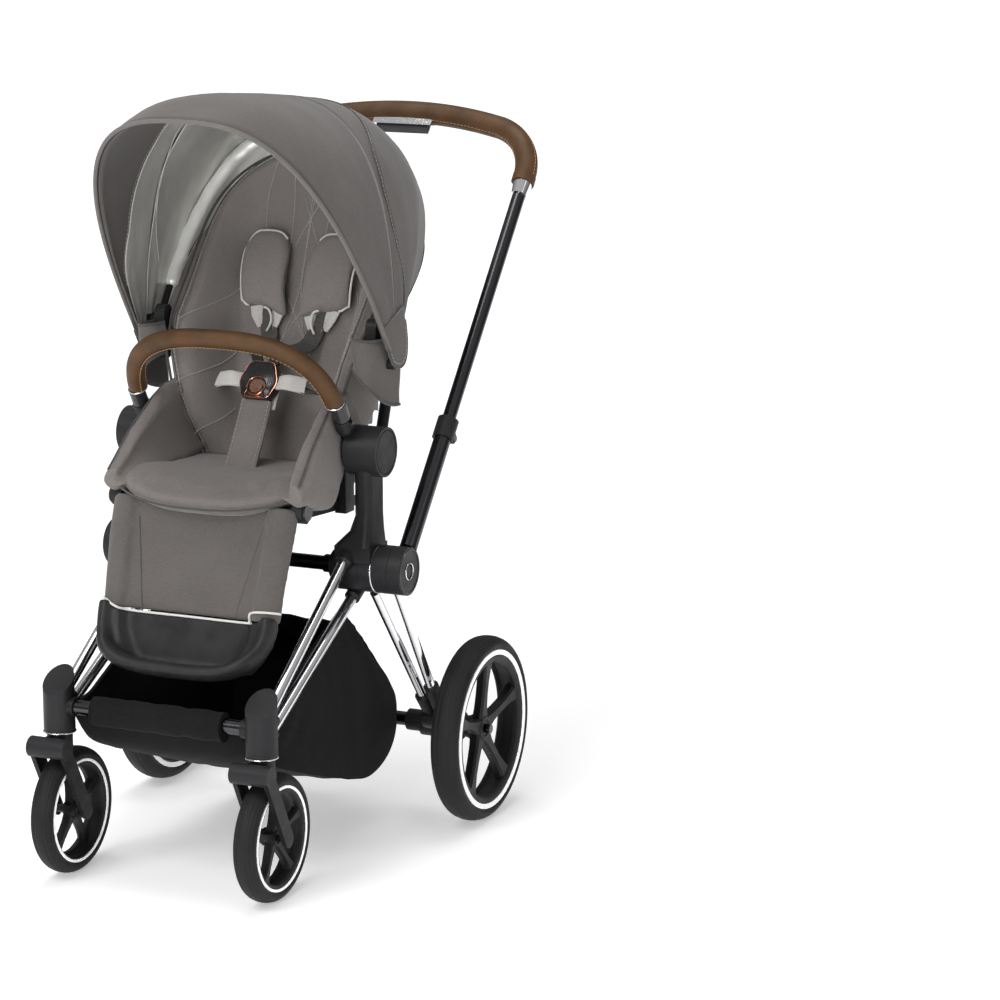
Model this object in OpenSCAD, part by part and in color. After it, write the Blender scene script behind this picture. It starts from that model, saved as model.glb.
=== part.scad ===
// Full-size baby stroller: folding tube frame, reclining seat with leg rest, and a fan canopy.
// Millimetres. +Z is up, the stroller faces -Y, and the origin is on the floor under the middle.

/* [Overall] */
// Length over the front tyres and the handlebar
overall_length = 932; // [900:1:960]
// Height of the handlebar's centre line
handlebar_height = 1064; // [1050:1:1080]

/* [Wheels] */
// Diameter of a rear tyre
rear_wheel_d = 290; // [280:1:300]
// Diameter of a front tyre
front_wheel_d = 190; // [180:1:192]
// Width of a rear tyre
rear_tyre_w = 46; // [40:1:50]
// Width of a front tyre
front_tyre_w = 36; // [30:1:38]
// Distance between the middles of the rear tyres
rear_track = 556; // [552:1:564]
// Distance between the middles of the front tyres
front_track = 336; // [332:1:340]
// Distance from the front axle back to the rear axle
wheel_base = 486; // [480:1:492]
// How far a front axle trails its swivel
caster_trail = 27; // [22:1:32]

/* [Frame] */
// Height of the fold hubs
hub_height = 436; // [430:1:440]
// Distance from the middle of the length forward to the fold hubs
hub_forward = 85; // [80:1:90]
// Radius of the fold hubs
hub_r = 36.5; // [35:0.5:38]
// Half width over the fold hubs
hub_face_x = 253; // [252:1:254]
// Radius of the front leg tubes
front_leg_r = 8.5; // [8:0.5:9]
// Radius of the rear leg tubes
rear_leg_r = 7.5; // [7:0.5:8]
// Outer radius of the lower handle tubes
handle_tube_r = 13.5; // [13:0.25:13.5]
// Outer radius of the telescopic handle tubes
inner_tube_r = 10.5; // [10:0.25:11]
// Radius of the leather-covered handlebar
grip_r = 18; // [16:0.5:18]

/* [Seat] */
// Height of the seat hubs
seat_hub_height = 616; // [612:1:620]
// Half width of the seat between its side panels
seat_half_w = 124; // [120:1:124]
// Angle of the backrest behind vertical
backrest_tilt = 20; // [18:1:22]
// Half width of the canopy's outer panel
canopy_half_w = 214.5; // [213:0.5:215]
// Reach of the canopy's outer panel from its pivot
canopy_reach = 455; // [445:1:460]
// Reach of the canopy's crown from its pivot
crown_reach = 388; // [384:1:394]

/* [Hidden] */

$fn = 64;
clearance = 0.05; // running fit between a pin and its bore
gap = 0.5;        // side gap between parts that turn past each other

// Wheels and casters
rear_r = rear_wheel_d / 2;
front_r = front_wheel_d / 2;
front_axle_y = -overall_length / 2 + front_r;
swivel_y = front_axle_y - caster_trail;
rear_axle_y = front_axle_y + wheel_base;
caster_x = front_track / 2;
rear_x = rear_track / 2;
stem_r = 8;
fork_top_z = 222;
housing_r = 23.4;
crossbar_y = swivel_y - 30;
crossbar_z = 204;
crossbar_r = 15.5;
fork_arm_t = 7;
fork_inner_x = front_tyre_w / 2 + 4;
front_axle_r = 5;
rear_axle_r = 11;
stub_r = 7;
stub_end_x = rear_x + rear_tyre_w / 2 - 4;

// Fold hubs
hub_y = -hub_forward;
hub_z = hub_height;
hub_in_x = 130;
housing_end_x = 184;
drum_start_x = housing_end_x + gap;
disc_start_x = hub_face_x - 21;
drum_end_x = disc_start_x - gap;
fold_pin_r = 8;

// Leg lines, each from its hub end to its foot
front_upper = [[165, -100, 469], [caster_x, swivel_y + 17, 277.5]];
front_lower = [[165, -62, 411], [caster_x, swivel_y + 17, 247.5]];
rear_inner = [[195, -84, 398], [209, 92, 157]];
rear_outer = [[223, -66, 401], [234, 80, 152]];

// Handle: its tubes lie on radii from the fold hubs
handle_end_y = overall_length / 2 - grip_r;
handle_rise = handlebar_height - hub_z;
handle_back = handle_end_y - hub_y;
handle_tilt = atan2(handle_back, handle_rise);
handle_len = norm([handle_back, handle_rise]);
handle_x = hub_face_x - 13.5;
spigot_r = 7.5; // plug of a fold disc inside its handle tube
clamp_at = 228;
clamp_len = 34;
inner_start = 136;
collar_at = handle_len - 150;
collar_len = 24;
bar_corner_r = 95;
trigger_half = 52;

// Seat hubs and posts
seat_hub_y = -92;
seat_hub_z = seat_hub_height;
seat_hub_in_x = 165;
seat_hub_out_x = 220;
seat_hub_r = 37.5;
post_in_x = 188; // middle of a post's inner corners
post_out_x = 206;
post_corner_r = 11;

// Backrest frame of reference: at the recline hinge, leaning back by backrest_tilt
recline_y = -20;
recline_z = 560;
back_len = 505;
back_half_w = 150;
bolster_half_w = 171;

// Canopy
pivot_y = -50;
pivot_z = 740;
fold_angle = 34; // each panel's share of the fan
front_bow_angle = 57;
panel_t = 2.5;
panel_step = 5;
bow_r = 4;
bow_lead = 3.6;

// Bumper bar, in a plane that leans forward of vertical
bumper_ring = [170, -137, 670];
bumper_lean = 31;
bumper_r = 12.5;
bumper_plug_r = 8;
bumper_rise = 139;
bumper_cover_at = 28;
bumper_button_at = -9; // along the bar from its lowest ring
bumper_button_r = 4;

// Leg rest
leg_hinge_y = -236;
leg_hinge_z = 548;
leg_lean = 19;
leg_pin_r = 6;
recline_pin_r = 6;
arm_x = seat_half_w + 1; // the leg rest's arms, just outside the cushion
arm_w = 12;
arm_t = 11;

// The leg rest's and bumper bar's joints on the seat frame
leg_pivot_x = 160;
leg_button_r = 13;
bumper_axis = [0, -sin(bumper_lean), cos(bumper_lean)];
socket_foot = bumper_ring - 16 * bumper_axis;
socket_elbow = [150, -124, 655];

// Side view of the backrest as (along, forward): its bolsters reach furthest at the canopy clips
back_side = [[12, -40], [12, 0], [152, 84], [200, 90], [380, 38], [505, 0], [505, -40]];
ear_foot = [recline_y + 55.7, recline_z + 1];

// The canopy's fan
arch_power = 2.85;
panel_first = 6;
panel_columns = 24;
panel_rows = 6;
first_edge = front_bow_angle;
second_edge = front_bow_angle + fold_angle;
third_edge = front_bow_angle + 2 * fold_angle;
last_edge = third_edge + 28;

// Outline of a basket side, from the hub down to the front tube and the rear axle
basket_side = [
    [-82, 386], [-340, 268], [-382, 250], [-378, 226], [-335, 188], [-240, 138], [-120, 108],
    [0, 100], [52, 112], [84, 150], [86, 176]
];
basket_t = 3;
// The front, floor and back walls, up to the back wall's top edge
basket_wall = concat([for (i = [2:len(basket_side) - 1]) basket_side[i]], [[-52, 348.5]]);
basket_hollow = concat(
    [for (i = [0:len(basket_wall) - 1]) basket_wall[i] + basket_t * path_normal(basket_wall, i)],
    [[-45.8, 353.5], [-60, 430], [-420, 430]]
);

// The grip's middle line: straight ends, two round corners and an arched middle
bar_turn = 75;
bar_flat = handle_x - bar_corner_r;
bar_arch_r = bar_flat / cos(bar_turn) + bar_corner_r;
bar_corner_y = handle_len - bar_arch_r + (bar_arch_r - bar_corner_r) * sin(bar_turn);
bar_corner = arc_path(bar_flat, bar_corner_y, bar_corner_r, 0, bar_turn - 7.5, 9);
bar_middle = arc_path(0, handle_len - bar_arch_r, bar_arch_r, bar_turn, 180 - bar_turn, 10);
bar_far_corner = arc_path(-bar_flat, bar_corner_y, bar_corner_r, 180 - bar_turn + 7.5, 180, 9);
grip_ends = collar_at + collar_len;
trigger_y = handle_len - grip_r;
front_rim_r = front_r - 15;
rear_rim_r = rear_r - 18;

// ---- Helpers ----

module both_sides() {
    children();
    mirror([1, 0, 0]) children();
}

// A round bar along X
module across(x0, x1, r, y, z) {
    translate([x0, y, z]) rotate([0, 90, 0]) cylinder(r = r, h = x1 - x0);
}

// A round bar between two points
module bar(a, b, r) {
    d = b - a;
    translate(a) rotate([0, acos(d.z / norm(d)), atan2(d.y, d.x)]) cylinder(r = r, h = norm(d));
}

// A shape drawn as (Y, Z) and given thickness along X
module side_plate(x0, x1) {
    translate([x0, 0, 0]) rotate([90, 0, 90]) linear_extrude(x1 - x0) children();
}

// Points along a circle's arc
function arc_path(x, y, r, from, to, steps) = [
    for (i = [0:steps]) let (a = from + (to - from) * i / steps) [x + r * cos(a), y + r * sin(a)]
];

// Two equal round ends joined by straight sides
module link_2d(a, b, r) {
    turn = atan2(b.y - a.y, b.x - a.x);
    polygon(concat(
        arc_path(b.x, b.y, r, turn - 90, turn + 90, 12),
        arc_path(a.x, a.y, r, turn + 90, turn + 270, 12)
    ));
}

// A point on a superellipse arch of half width w and height h
function arch_point(a, w, h, n) = [
    w * sign(cos(a)) * pow(abs(cos(a)), 2 / n),
    h * pow(abs(sin(a)), 2 / n)
];

// An arch from one side to the other, its points closer together near its ends
function arch_path(w, h, n, first, steps) =
    [for (i = [0:steps]) arch_point(90 - (90 - first) * cos(180 * i / steps), w, h, n)];

function path_normal(p, i) =
    let (d = p[min(i + 1, len(p) - 1)] - p[max(i - 1, 0)]) [-d.y, d.x] / norm(d);

// A round bar swept along a path in the XY plane
module swept_bar(path, r, sides) {
    rings = len(path);
    points = [
        for (i = [0:rings - 1]) let (n = path_normal(path, i))
            for (k = [0:sides - 1]) let (a = 360 * k / sides)
                [path[i].x + r * cos(a) * n.x, path[i].y + r * cos(a) * n.y, r * sin(a)]
    ];
    first_cap = [for (k = [0:sides - 1]) k];
    last_cap = [for (k = [sides - 1:-1:0]) (rings - 1) * sides + k];
    walls = [
        for (i = [0:rings - 2]) for (k = [0:sides - 1])
            let (a = i * sides + k, b = i * sides + (k + 1) % sides)
                each [[a, a + sides, b + sides], [a, b + sides, b]]
    ];
    polyhedron(points, concat([first_cap, last_cap], walls));
}

// Places its children on the handle: X across, Y up along the tubes, Z off the tubes' plane
module on_handle() {
    translate([0, hub_y, hub_z]) rotate([90 - handle_tilt, 0, 0]) children();
}

module handle_tube(x, from, to, r) {
    translate([x, from, 0]) rotate([-90, 0, 0]) cylinder(r = r, h = to - from);
}

// Places its children on the backrest: X across, Y up along it, Z forward of its surface
module on_backrest() {
    translate([0, recline_y, recline_z]) rotate([90 - backrest_tilt, 0, 0]) children();
}

// Places its children on the bumper bar's plane: X across, Y up along it
module on_bumper() {
    translate([0, bumper_ring.y, bumper_ring.z]) rotate([90 + bumper_lean, 0, 0]) children();
}

// Places its children on the leg rest: X across, Y down along it, Z out of its front face
module on_leg_rest() {
    translate([0, leg_hinge_y, leg_hinge_z]) rotate([-90 - leg_lean, 0, 0]) mirror([0, 0, 1]) children();
}

// ---- Root: housings, posts, front legs ----

module hub_housings() color("dimgray") both_sides() difference() {
    union() {
        across(hub_in_x + 12, housing_end_x, hub_r, hub_y, hub_z);
        across(hub_in_x, hub_in_x + 12.5, 24, hub_y, hub_z);
        bar(front_upper[0], front_upper[0] + (front_upper[1] - front_upper[0]) * 0.1, 13);
        bar(front_lower[0], front_lower[0] + (front_lower[1] - front_lower[0]) * 0.12, 12);
    }
    across(hub_in_x + 20, housing_end_x + 1, fold_pin_r, hub_y, hub_z);
}

module fold_axles() color("silver") both_sides()
    across(hub_in_x + 20, hub_face_x - 4, fold_pin_r, hub_y, hub_z);

// Four upright round corners of a seat post's section
module post_corners(x_in, z, h, y_half = 15, y_mid = seat_hub_y - 1) {
    for (x = [x_in, post_out_x - post_corner_r], y = [y_mid - y_half, y_mid + y_half])
        translate([x, y, z]) cylinder(r = post_corner_r, h = h, $fn = 32);
}

// A post stands on its hub housing, and its foot bridges the rear drum without touching it
module seat_posts() color("dimgray") both_sides() difference() {
    union() {
        hull() post_corners(post_in_x, 520, 70);
        hull() {
            post_corners(post_in_x, 520, 1);
            post_corners(post_in_x - 8, 496, 1, 18);
        }
        hull() {
            post_corners(post_in_x - 8, 496, 1, 18);
            post_corners(post_in_x - 30, 474, 1, 23);
        }
        translate([post_in_x - 41, seat_hub_y - 30, 450]) cube([post_out_x - post_in_x + 41, 60, 24.5]);
    }
    across(housing_end_x + gap / 2, post_out_x + 1, hub_r + gap, hub_y, hub_z);
}

module seat_hubs() color("dimgray") both_sides() difference() {
    across(seat_hub_in_x, seat_hub_out_x, seat_hub_r, seat_hub_y, seat_hub_z);
    difference() {
        across(seat_hub_out_x - 2, seat_hub_out_x + 1, seat_hub_r - 4, seat_hub_y, seat_hub_z);
        across(seat_hub_out_x - 3, seat_hub_out_x + 2, seat_hub_r - 5.5, seat_hub_y, seat_hub_z);
    }
}

module upper_cross_tube() color("dimgray") union() {
    across(-hub_in_x, hub_in_x, 11, hub_y, hub_z);
    both_sides() across(hub_in_x - 16, hub_in_x, 14, hub_y, hub_z);
}

module front_legs() color("silver") both_sides() {
    bar(front_upper[0], front_upper[1], front_leg_r);
    bar(front_lower[0], front_lower[1], front_leg_r);
}

module front_housings() color("dimgray") both_sides() difference() {
    union() {
        translate([caster_x, swivel_y, fork_top_z + gap]) cylinder(r = housing_r, h = 96);
        bar([caster_x, swivel_y + 10, 260], [caster_x, swivel_y + 30, 273], 14);
        bar([caster_x, swivel_y + 10, 244], [caster_x, swivel_y + 28, 253], 13);
        across(caster_x - housing_r - 6, caster_x - 10, 14, swivel_y, 262);
    }
    translate([caster_x, swivel_y, fork_top_z]) cylinder(r = stem_r + clearance, h = 40);
    translate([caster_x - 40, swivel_y - housing_r, 282]) rotate([38, 0, 0]) cube([80, 90, 60]);
}

module front_cross_tube() color("dimgray")
    across(-caster_x + housing_r + 4, caster_x - housing_r - 4, 11, swivel_y, 262);

module basket() color("black") difference() {
    side_plate(-149, 149) polygon(basket_side);
    side_plate(basket_t - 149, 149 - basket_t) polygon(basket_hollow);
}

// ---- Rear frame ----

module rear_hub_drums() color("dimgray") both_sides() difference() {
    across(drum_start_x, drum_end_x, hub_r, hub_y, hub_z);
    across(drum_start_x - 1, drum_end_x + 1, fold_pin_r + clearance, hub_y, hub_z);
}

module rear_legs() color("silver") both_sides() {
    bar(rear_inner[0], rear_inner[1], rear_leg_r);
    bar(rear_outer[0], rear_outer[1], rear_leg_r);
}

module rear_brackets() color("dimgray") both_sides() union() {
    across(182, rear_x - rear_tyre_w / 2 - 6, 22, rear_axle_y, rear_r);
    across(156, 182.5, 17, rear_axle_y, rear_r);
    bar(rear_inner[1] - (rear_inner[1] - rear_inner[0]) * 0.2, rear_inner[1] + [0, 10, -6], 12);
    bar(rear_outer[1] - (rear_outer[1] - rear_outer[0]) * 0.3, rear_outer[1] + [0, 14, -4], 12);
    side_plate(198, 246) link_2d([84, 160], [rear_axle_y, rear_r], 14);
    side_plate(212, 240) link_2d([100, 128], [rear_axle_y + 8, 122], 10);
}

module rear_axle() color("silver") union() {
    across(-170, 170, rear_axle_r, rear_axle_y, rear_r);
    both_sides() across(165, stub_end_x, stub_r, rear_axle_y, rear_r);
}

module brake_pedal() color("dimgray") difference() {
    union() {
        across(-30, 30, 16, rear_axle_y, rear_r);
        translate([-34, rear_axle_y + 12, rear_r + 2]) cube([68, 34, 7]);
        translate([-34, rear_axle_y + 46, rear_r + 5.5]) rotate([0, 90, 0]) cylinder(r = 3.5, h = 68);
    }
    across(-31, 31, rear_axle_r + clearance, rear_axle_y, rear_r);
}

// ---- Handle ----

module handle_hubs() color("dimgray") difference() {
    both_sides() {
        across(disc_start_x, hub_face_x, hub_r, hub_y, hub_z);
        on_handle() handle_tube(handle_x, hub_r - 6, hub_r + 14, spigot_r);
    }
    both_sides() {
        across(disc_start_x - 1, hub_face_x - 4, fold_pin_r + clearance, hub_y, hub_z);
        difference() {
            across(hub_face_x - 1, hub_face_x + 1, 13, hub_y, hub_z);
            across(hub_face_x - 2, hub_face_x + 2, 9, hub_y, hub_z);
        }
    }
}

module handle_lower_tubes() color("dimgray") both_sides() on_handle() difference() {
    handle_tube(handle_x, hub_r + 1.5, clamp_at, handle_tube_r);
    handle_tube(handle_x, hub_r + 14, clamp_at + 1, inner_tube_r + clearance);
}

module handle_clamps() color("dimgray") both_sides() on_handle() difference() {
    union() {
        handle_tube(handle_x, clamp_at, clamp_at + clamp_len, 16.5);
        translate([handle_x - 8, clamp_at + 14, -20]) rotate([0, 90, 0]) cylinder(r = 9, h = 16);
    }
    handle_tube(handle_x, clamp_at - 1, clamp_at + clamp_len + 1, inner_tube_r + clearance);
    translate([handle_x - 4, clamp_at + 14, -21.5]) rotate([0, 90, 0])
        cylinder(r = 5 + clearance, h = 20);
}

module clamp_button() color("black") on_handle()
    translate([handle_x + 1, clamp_at + 14, -21.5]) rotate([0, 90, 0]) cylinder(r = 5, h = 9.5);

module clamp_button_left() clamp_button();
module clamp_button_right() mirror([1, 0, 0]) clamp_button();

module handle_inner_tubes() color("dimgray") both_sides() on_handle()
    handle_tube(handle_x, inner_start, collar_at + 4, inner_tube_r);

module handle_collars() color("silver") both_sides() on_handle() difference() {
    translate([handle_x, collar_at, 0]) rotate([-90, 0, 0]) cylinder(r1 = 13, r2 = 16, h = collar_len);
    handle_tube(handle_x, collar_at - 1, collar_at + 4, inner_tube_r);
}

module handlebar_grip() color("saddlebrown") on_handle()
    swept_bar(concat([[handle_x, grip_ends]], bar_corner, bar_middle, bar_far_corner, [[-handle_x, grip_ends]]),
        grip_r, 20);

module trigger_housing() color("silver") on_handle() difference() {
    translate([-trigger_half, trigger_y - 12, -9]) cube([2 * trigger_half, 15, 18]);
    translate([-trigger_half + 6, trigger_y - 13, -6]) cube([2 * trigger_half - 12, 7, 12]);
}

module fold_trigger() color("black") on_handle()
    translate([-trigger_half + 6.5, trigger_y - 20, -5.5]) cube([2 * trigger_half - 13, 9, 11]);

// ---- Casters and wheels ----

module caster_fork() color("dimgray") translate([caster_x, 0, 0]) union() {
    translate([0, swivel_y, crossbar_z - 8]) cylinder(r = 19, h = fork_top_z - crossbar_z + 8);
    translate([0, swivel_y, fork_top_z - 1]) cylinder(r = stem_r, h = 38);
    across(-fork_inner_x - fork_arm_t - 2, fork_inner_x + fork_arm_t + 2, crossbar_r, crossbar_y, crossbar_z);
    translate([-15, crossbar_y, crossbar_z - 8]) cube([30, 30, 20]);
    for (x = [-fork_inner_x - fork_arm_t, fork_inner_x])
        side_plate(x, x + fork_arm_t)
            link_2d([crossbar_y, crossbar_z], [front_axle_y, front_r], 12);
    across(-fork_inner_x - 1, fork_inner_x + 1, front_axle_r, front_axle_y, front_r);
}

module caster_fork_left() caster_fork();
module caster_fork_right() mirror([1, 0, 0]) caster_fork();

// A tyre with rounded shoulders, round an X axis through the origin
module tyre(r, w, depth) {
    crown = depth * 0.8;
    rotate([0, 90, 0]) rotate_extrude($fn = 96) polygon(concat(
        [[r - depth, -w / 2 + 1]],
        [for (a = [-90:10:90]) [r - crown + crown * cos(a), w / 2 * sin(a)]],
        [[r - depth, w / 2 - 1]]
    ));
}

// A five-spoke rim with a hub barrel, round an X axis through the origin
module rim(r, w, hub_w, bore_r, spoke_w) {
    rotate([0, 90, 0]) difference() {
        union() {
            rotate_extrude($fn = 96) translate([r - 9, -w / 2]) square([9, w]);
            translate([0, 0, -hub_w / 2]) cylinder(r = r * 0.16 + 6, h = hub_w);
            for (i = [0:4]) rotate(72 * i) rotate([90, 0, 0])
                linear_extrude(spoke_w, center = true) polygon([
                    [4, -hub_w * 0.2], [4, hub_w / 2 - 1], [r - 8, w / 2 - 2], [r - 8, w / 2 - 16]
                ]);
        }
        translate([0, 0, -hub_w]) cylinder(r = bore_r, h = 2 * hub_w);
    }
}

module at_front_wheel() translate([caster_x, front_axle_y, front_r]) children();
module at_rear_wheel() translate([rear_x, rear_axle_y, rear_r]) children();

module front_tyre_left() color("black") at_front_wheel() tyre(front_r, front_tyre_w, 15);
module front_tyre_right() mirror([1, 0, 0]) front_tyre_left();
module rear_tyre_left() color("black") at_rear_wheel() tyre(rear_r, rear_tyre_w, 18);
module rear_tyre_right() mirror([1, 0, 0]) rear_tyre_left();
module front_rim_left() color("dimgray") at_front_wheel()
    rim(front_rim_r, front_tyre_w - 6, 2 * fork_inner_x - 2, front_axle_r + clearance, 13);
module front_rim_right() mirror([1, 0, 0]) front_rim_left();
module rear_rim_left() color("dimgray") at_rear_wheel()
    rim(rear_rim_r, rear_tyre_w - 6, rear_tyre_w + 2, stub_r + clearance, 20);
module rear_rim_right() mirror([1, 0, 0]) rear_rim_left();

// ---- Seat ----

module seat_frame() color("black") both_sides() difference() {
    union() {
        across(141, seat_hub_in_x - gap, 29, seat_hub_y, seat_hub_z);
        bar(socket_foot, bumper_ring, 13.5);
        translate(socket_foot) sphere(14);
        bar(socket_elbow, socket_foot, 10);
        bar([150, -104, 632], socket_elbow, 10);
        translate(socket_elbow) sphere(10.5);
        translate([141, seat_hub_y - 14, 520]) cube([18, 28, 72]);
        across(142, leg_pivot_x, 16, leg_hinge_y, leg_hinge_z);
        across(112, 143, leg_pin_r, leg_hinge_y, leg_hinge_z);
        side_plate(142, 149) link_2d([leg_hinge_y, leg_hinge_z - 6], [-30, 527], 7);
        side_plate(142, 149) link_2d([-30, 527], [recline_y, recline_z], 7);
        across(148, 158, recline_pin_r, recline_y, recline_z);
        across(-1, 145, 8, -60, 527);
        across(-1, 145, 8, -205, 531);
        translate([-1, -205, 522]) cube([121, 150, 6]);
    }
    on_bumper() handle_tube(bumper_ring.x, -16.5, 1, bumper_plug_r + clearance);
    on_bumper() translate([bumper_ring.x, bumper_button_at, 0]) rotate([0, 90, 0])
        cylinder(r = bumper_button_r + clearance, h = 16);
    on_bumper() translate([bumper_ring.x, bumper_button_at, -bumper_button_r - clearance])
        cube([16, 20, 2 * (bumper_button_r + clearance)]);
    across(leg_pivot_x - 5, leg_pivot_x + 1, leg_button_r + clearance, leg_hinge_y, leg_hinge_z);
}

module seat_cushion() color("gray") union() {
    side_plate(-seat_half_w, seat_half_w)
        polygon([[-262, 541], [-262, 583], [-200, 575], [-40, 560], [-40, 540]]);
    across(-154, 154, 17, -268, 566);
}

module seat_side_panels() color("gray") both_sides() side_plate(seat_half_w + 1.5, 138)
    polygon([[-246, 562], [-246, 586], [-118, 690], [-58, 698], [-34, 640], [-36, 542], [-150, 541]]);

module crotch_strap() color("gray") side_plate(-24, 24)
    link_2d([-136, 577], [-78, 676], 4, $fn = 24);

module buckle_place() translate([0, -70, 703]) rotate([90 - 32, 0, 0]) children();
module buckle() color("black") buckle_place() difference() {
    translate([0, 0, -10]) linear_extrude(20)
        polygon([[-22, -30], [22, -30], [32, -3], [20, 28], [-20, 28], [-32, -3]]);
    translate([0, -12, 2]) cylinder(r = 11 + clearance, h = 9);
}
module buckle_button() color("sienna") buckle_place() translate([0, -12, 4]) cylinder(r = 11, h = 8);

module bumper_bar_tube() color("dimgray") both_sides() on_bumper() {
    handle_tube(bumper_ring.x, 1, bumper_cover_at, bumper_r);
    handle_tube(bumper_ring.x, -16, 1, bumper_plug_r);
}

module bumper_bar_cover() color("saddlebrown") on_bumper()
    swept_bar(arch_path(bumper_ring.x, bumper_rise, 2.7, 7, 36), 14.5, 16);

module bumper_button() color("black") on_bumper()
    translate([bumper_ring.x + bumper_plug_r + 3, bumper_button_at, 0]) rotate([0, 90, 0])
        cylinder(r = bumper_button_r, h = 5);
module bumper_button_left() bumper_button();
module bumper_button_right() mirror([1, 0, 0]) bumper_button();

// Leg rest
module leg_rest_panel() color("gray") on_leg_rest() difference() {
    union() {
        linear_extrude(14) polygon([[-140, 52], [140, 52], [128, 168], [-128, 168]]);
        both_sides() {
            bar([140, 52, 14], [134, 168, 16], 12);
            across(arm_x, arm_x + arm_w, arm_t, 0, 0);
            translate([arm_x, 0, -arm_t]) cube([arm_w, 60, arm_t]);
            translate([arm_x, 44, -arm_t]) cube([arm_w, 16, arm_t + 4]);
        }
    }
    across(-140, 140, leg_pin_r + clearance, 0, 0);
}

module footrest_lip() color("black") on_leg_rest() union() {
    linear_extrude(12) polygon([[-128, 168.5], [128, 168.5], [118, 256], [-118, 256]]);
    both_sides() bar([134, 168.5, 16], [126, 246, 22], 12);
    both_sides() translate([126, 246, 22]) sphere(12.5);
    both_sides() bar([112, 259, 24], [126, 246, 22], 12);
    both_sides() translate([112, 259, 24]) sphere(12.5);
    bar([-112, 259, 24], [112, 259, 24], 12);
}

module leg_rest_button() color("black") translate([leg_pivot_x - 1, leg_hinge_y, leg_hinge_z])
    rotate([0, 90, 0]) cylinder(r = leg_button_r, h = 5);
module leg_rest_button_left() leg_rest_button();
module leg_rest_button_right() mirror([1, 0, 0]) leg_rest_button();

// ---- Backrest ----

// Front view of the backrest: narrow between the side panels, then an arch
module back_outline() {
    arch_y = back_len - bolster_half_w;
    translate([-118, 12]) square([236, 150]);
    translate([-bolster_half_w, 152]) square([2 * bolster_half_w, arch_y - 152]);
    translate([0, arch_y]) intersection() {
        circle(bolster_half_w);
        translate([-bolster_half_w, -1]) square([2 * bolster_half_w, bolster_half_w + 1]);
    }
}

module backrest_pad() color("gray") on_backrest() difference() {
    intersection() {
        translate([0, 0, -60]) linear_extrude(160) back_outline();
        translate([-180, 0, 0]) rotate([90, 0, 90]) linear_extrude(360) polygon(back_side);
    }
    rotate([90, 0, 0]) translate([0, 0, -back_len - 1]) linear_extrude(back_len + 2)
        polygon([[-122, 0], [122, 0], [150, 100], [-150, 100]]);
}

module backrest_frame() color("black") difference() {
    union() {
        on_backrest() translate([0, 0, -52]) {
            both_sides() bar([140, 20, 0], [140, back_len - 167, 0], 9);
            translate([0, back_len - 170, 0]) rotate_extrude(angle = 180) translate([140, 0]) circle(9.4);
            translate([-140, 290, -12]) cube([280, 40, 5]);
        }
        both_sides() side_plate(150, 156) link_2d([recline_y, recline_z], ear_foot, 10);
        both_sides() across(140, 156, 8, ear_foot.x, ear_foot.y);
    }
    across(-160, 160, recline_pin_r + clearance, recline_y, recline_z);
}
module recline_lever() color("black") on_backrest() translate([-45, 298, -79]) cube([90, 22, 14]);

module harness_straps() color("dimgray") on_backrest() both_sides()
    translate([36, 130, 1]) cube([26, 150, 2]);

module shoulder_pads() color("gray") on_backrest() both_sides()
    translate([22, 250, 4]) cube([56, 120, 22]);

// The upper arm of each clip carries the bows' ends
module canopy_clips() color("black") both_sides() union() {
    side_plate(bolster_half_w, 188) link_2d([pivot_y, pivot_z], [pivot_y + 2, pivot_z + 55], 12);
    across(bolster_half_w, 188, 16, pivot_y, pivot_z);
    across(188, canopy_half_w, 7, pivot_y, pivot_z);
}

// ---- Canopy: panels of one fan about the clips, each just inside the last ----

// One row of points across the fan, at an angle above forward
function fan_row(angle, w, h) = [
    for (p = arch_path(w, h, arch_power, panel_first, panel_columns))
        [p.x, pivot_y - p.y * cos(angle), pivot_z + p.y * sin(angle)]
];

// A panel whose reach changes evenly from its front edge to its back edge
module canopy_panel(w, angles, reaches) color("gray") {
    n = panel_columns + 1;
    m = panel_rows + 1;
    outer = [for (i = [0:panel_rows]) let (f = i / panel_rows)
        each fan_row(angles[0] + (angles[1] - angles[0]) * f, w, reaches[0] + (reaches[1] - reaches[0]) * f)];
    inner = [for (i = [0:panel_rows]) let (f = i / panel_rows)
        each fan_row(angles[0] + (angles[1] - angles[0]) * f, w - panel_t,
            reaches[0] + (reaches[1] - reaches[0]) * f - panel_t)];
    k = n * m;
    skin = [for (i = [0:m - 2]) for (j = [0:n - 2]) let (a = i * n + j)
        each [[a, a + n, a + n + 1], [a, a + n + 1, a + 1]]];
    lining = [for (f = skin) [f[2] + k, f[1] + k, f[0] + k]];
    edge = concat(
        [for (j = [0:n - 1]) j],
        [for (i = [1:m - 1]) i * n + n - 1],
        [for (j = [n - 2:-1:0]) (m - 1) * n + j],
        [for (i = [m - 2:-1:1]) i * n]
    );
    hem = [for (e = [0:len(edge) - 1]) let (a = edge[e], b = edge[(e + 1) % len(edge)])
        each [[a, b, b + k], [a, b + k, a + k]]];
    polyhedron(concat(outer, inner), concat(skin, lining, hem));
}

module canopy_front_panel()
    canopy_panel(canopy_half_w, [first_edge, second_edge], [canopy_reach, crown_reach + 2 * panel_step]);
module canopy_middle_panel()
    canopy_panel(canopy_half_w - panel_step, [second_edge, third_edge],
        [crown_reach + panel_step, crown_reach + panel_step]);
module canopy_rear_panel()
    canopy_panel(canopy_half_w - 2 * panel_step, [third_edge, last_edge], [crown_reach, crown_reach]);

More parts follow.
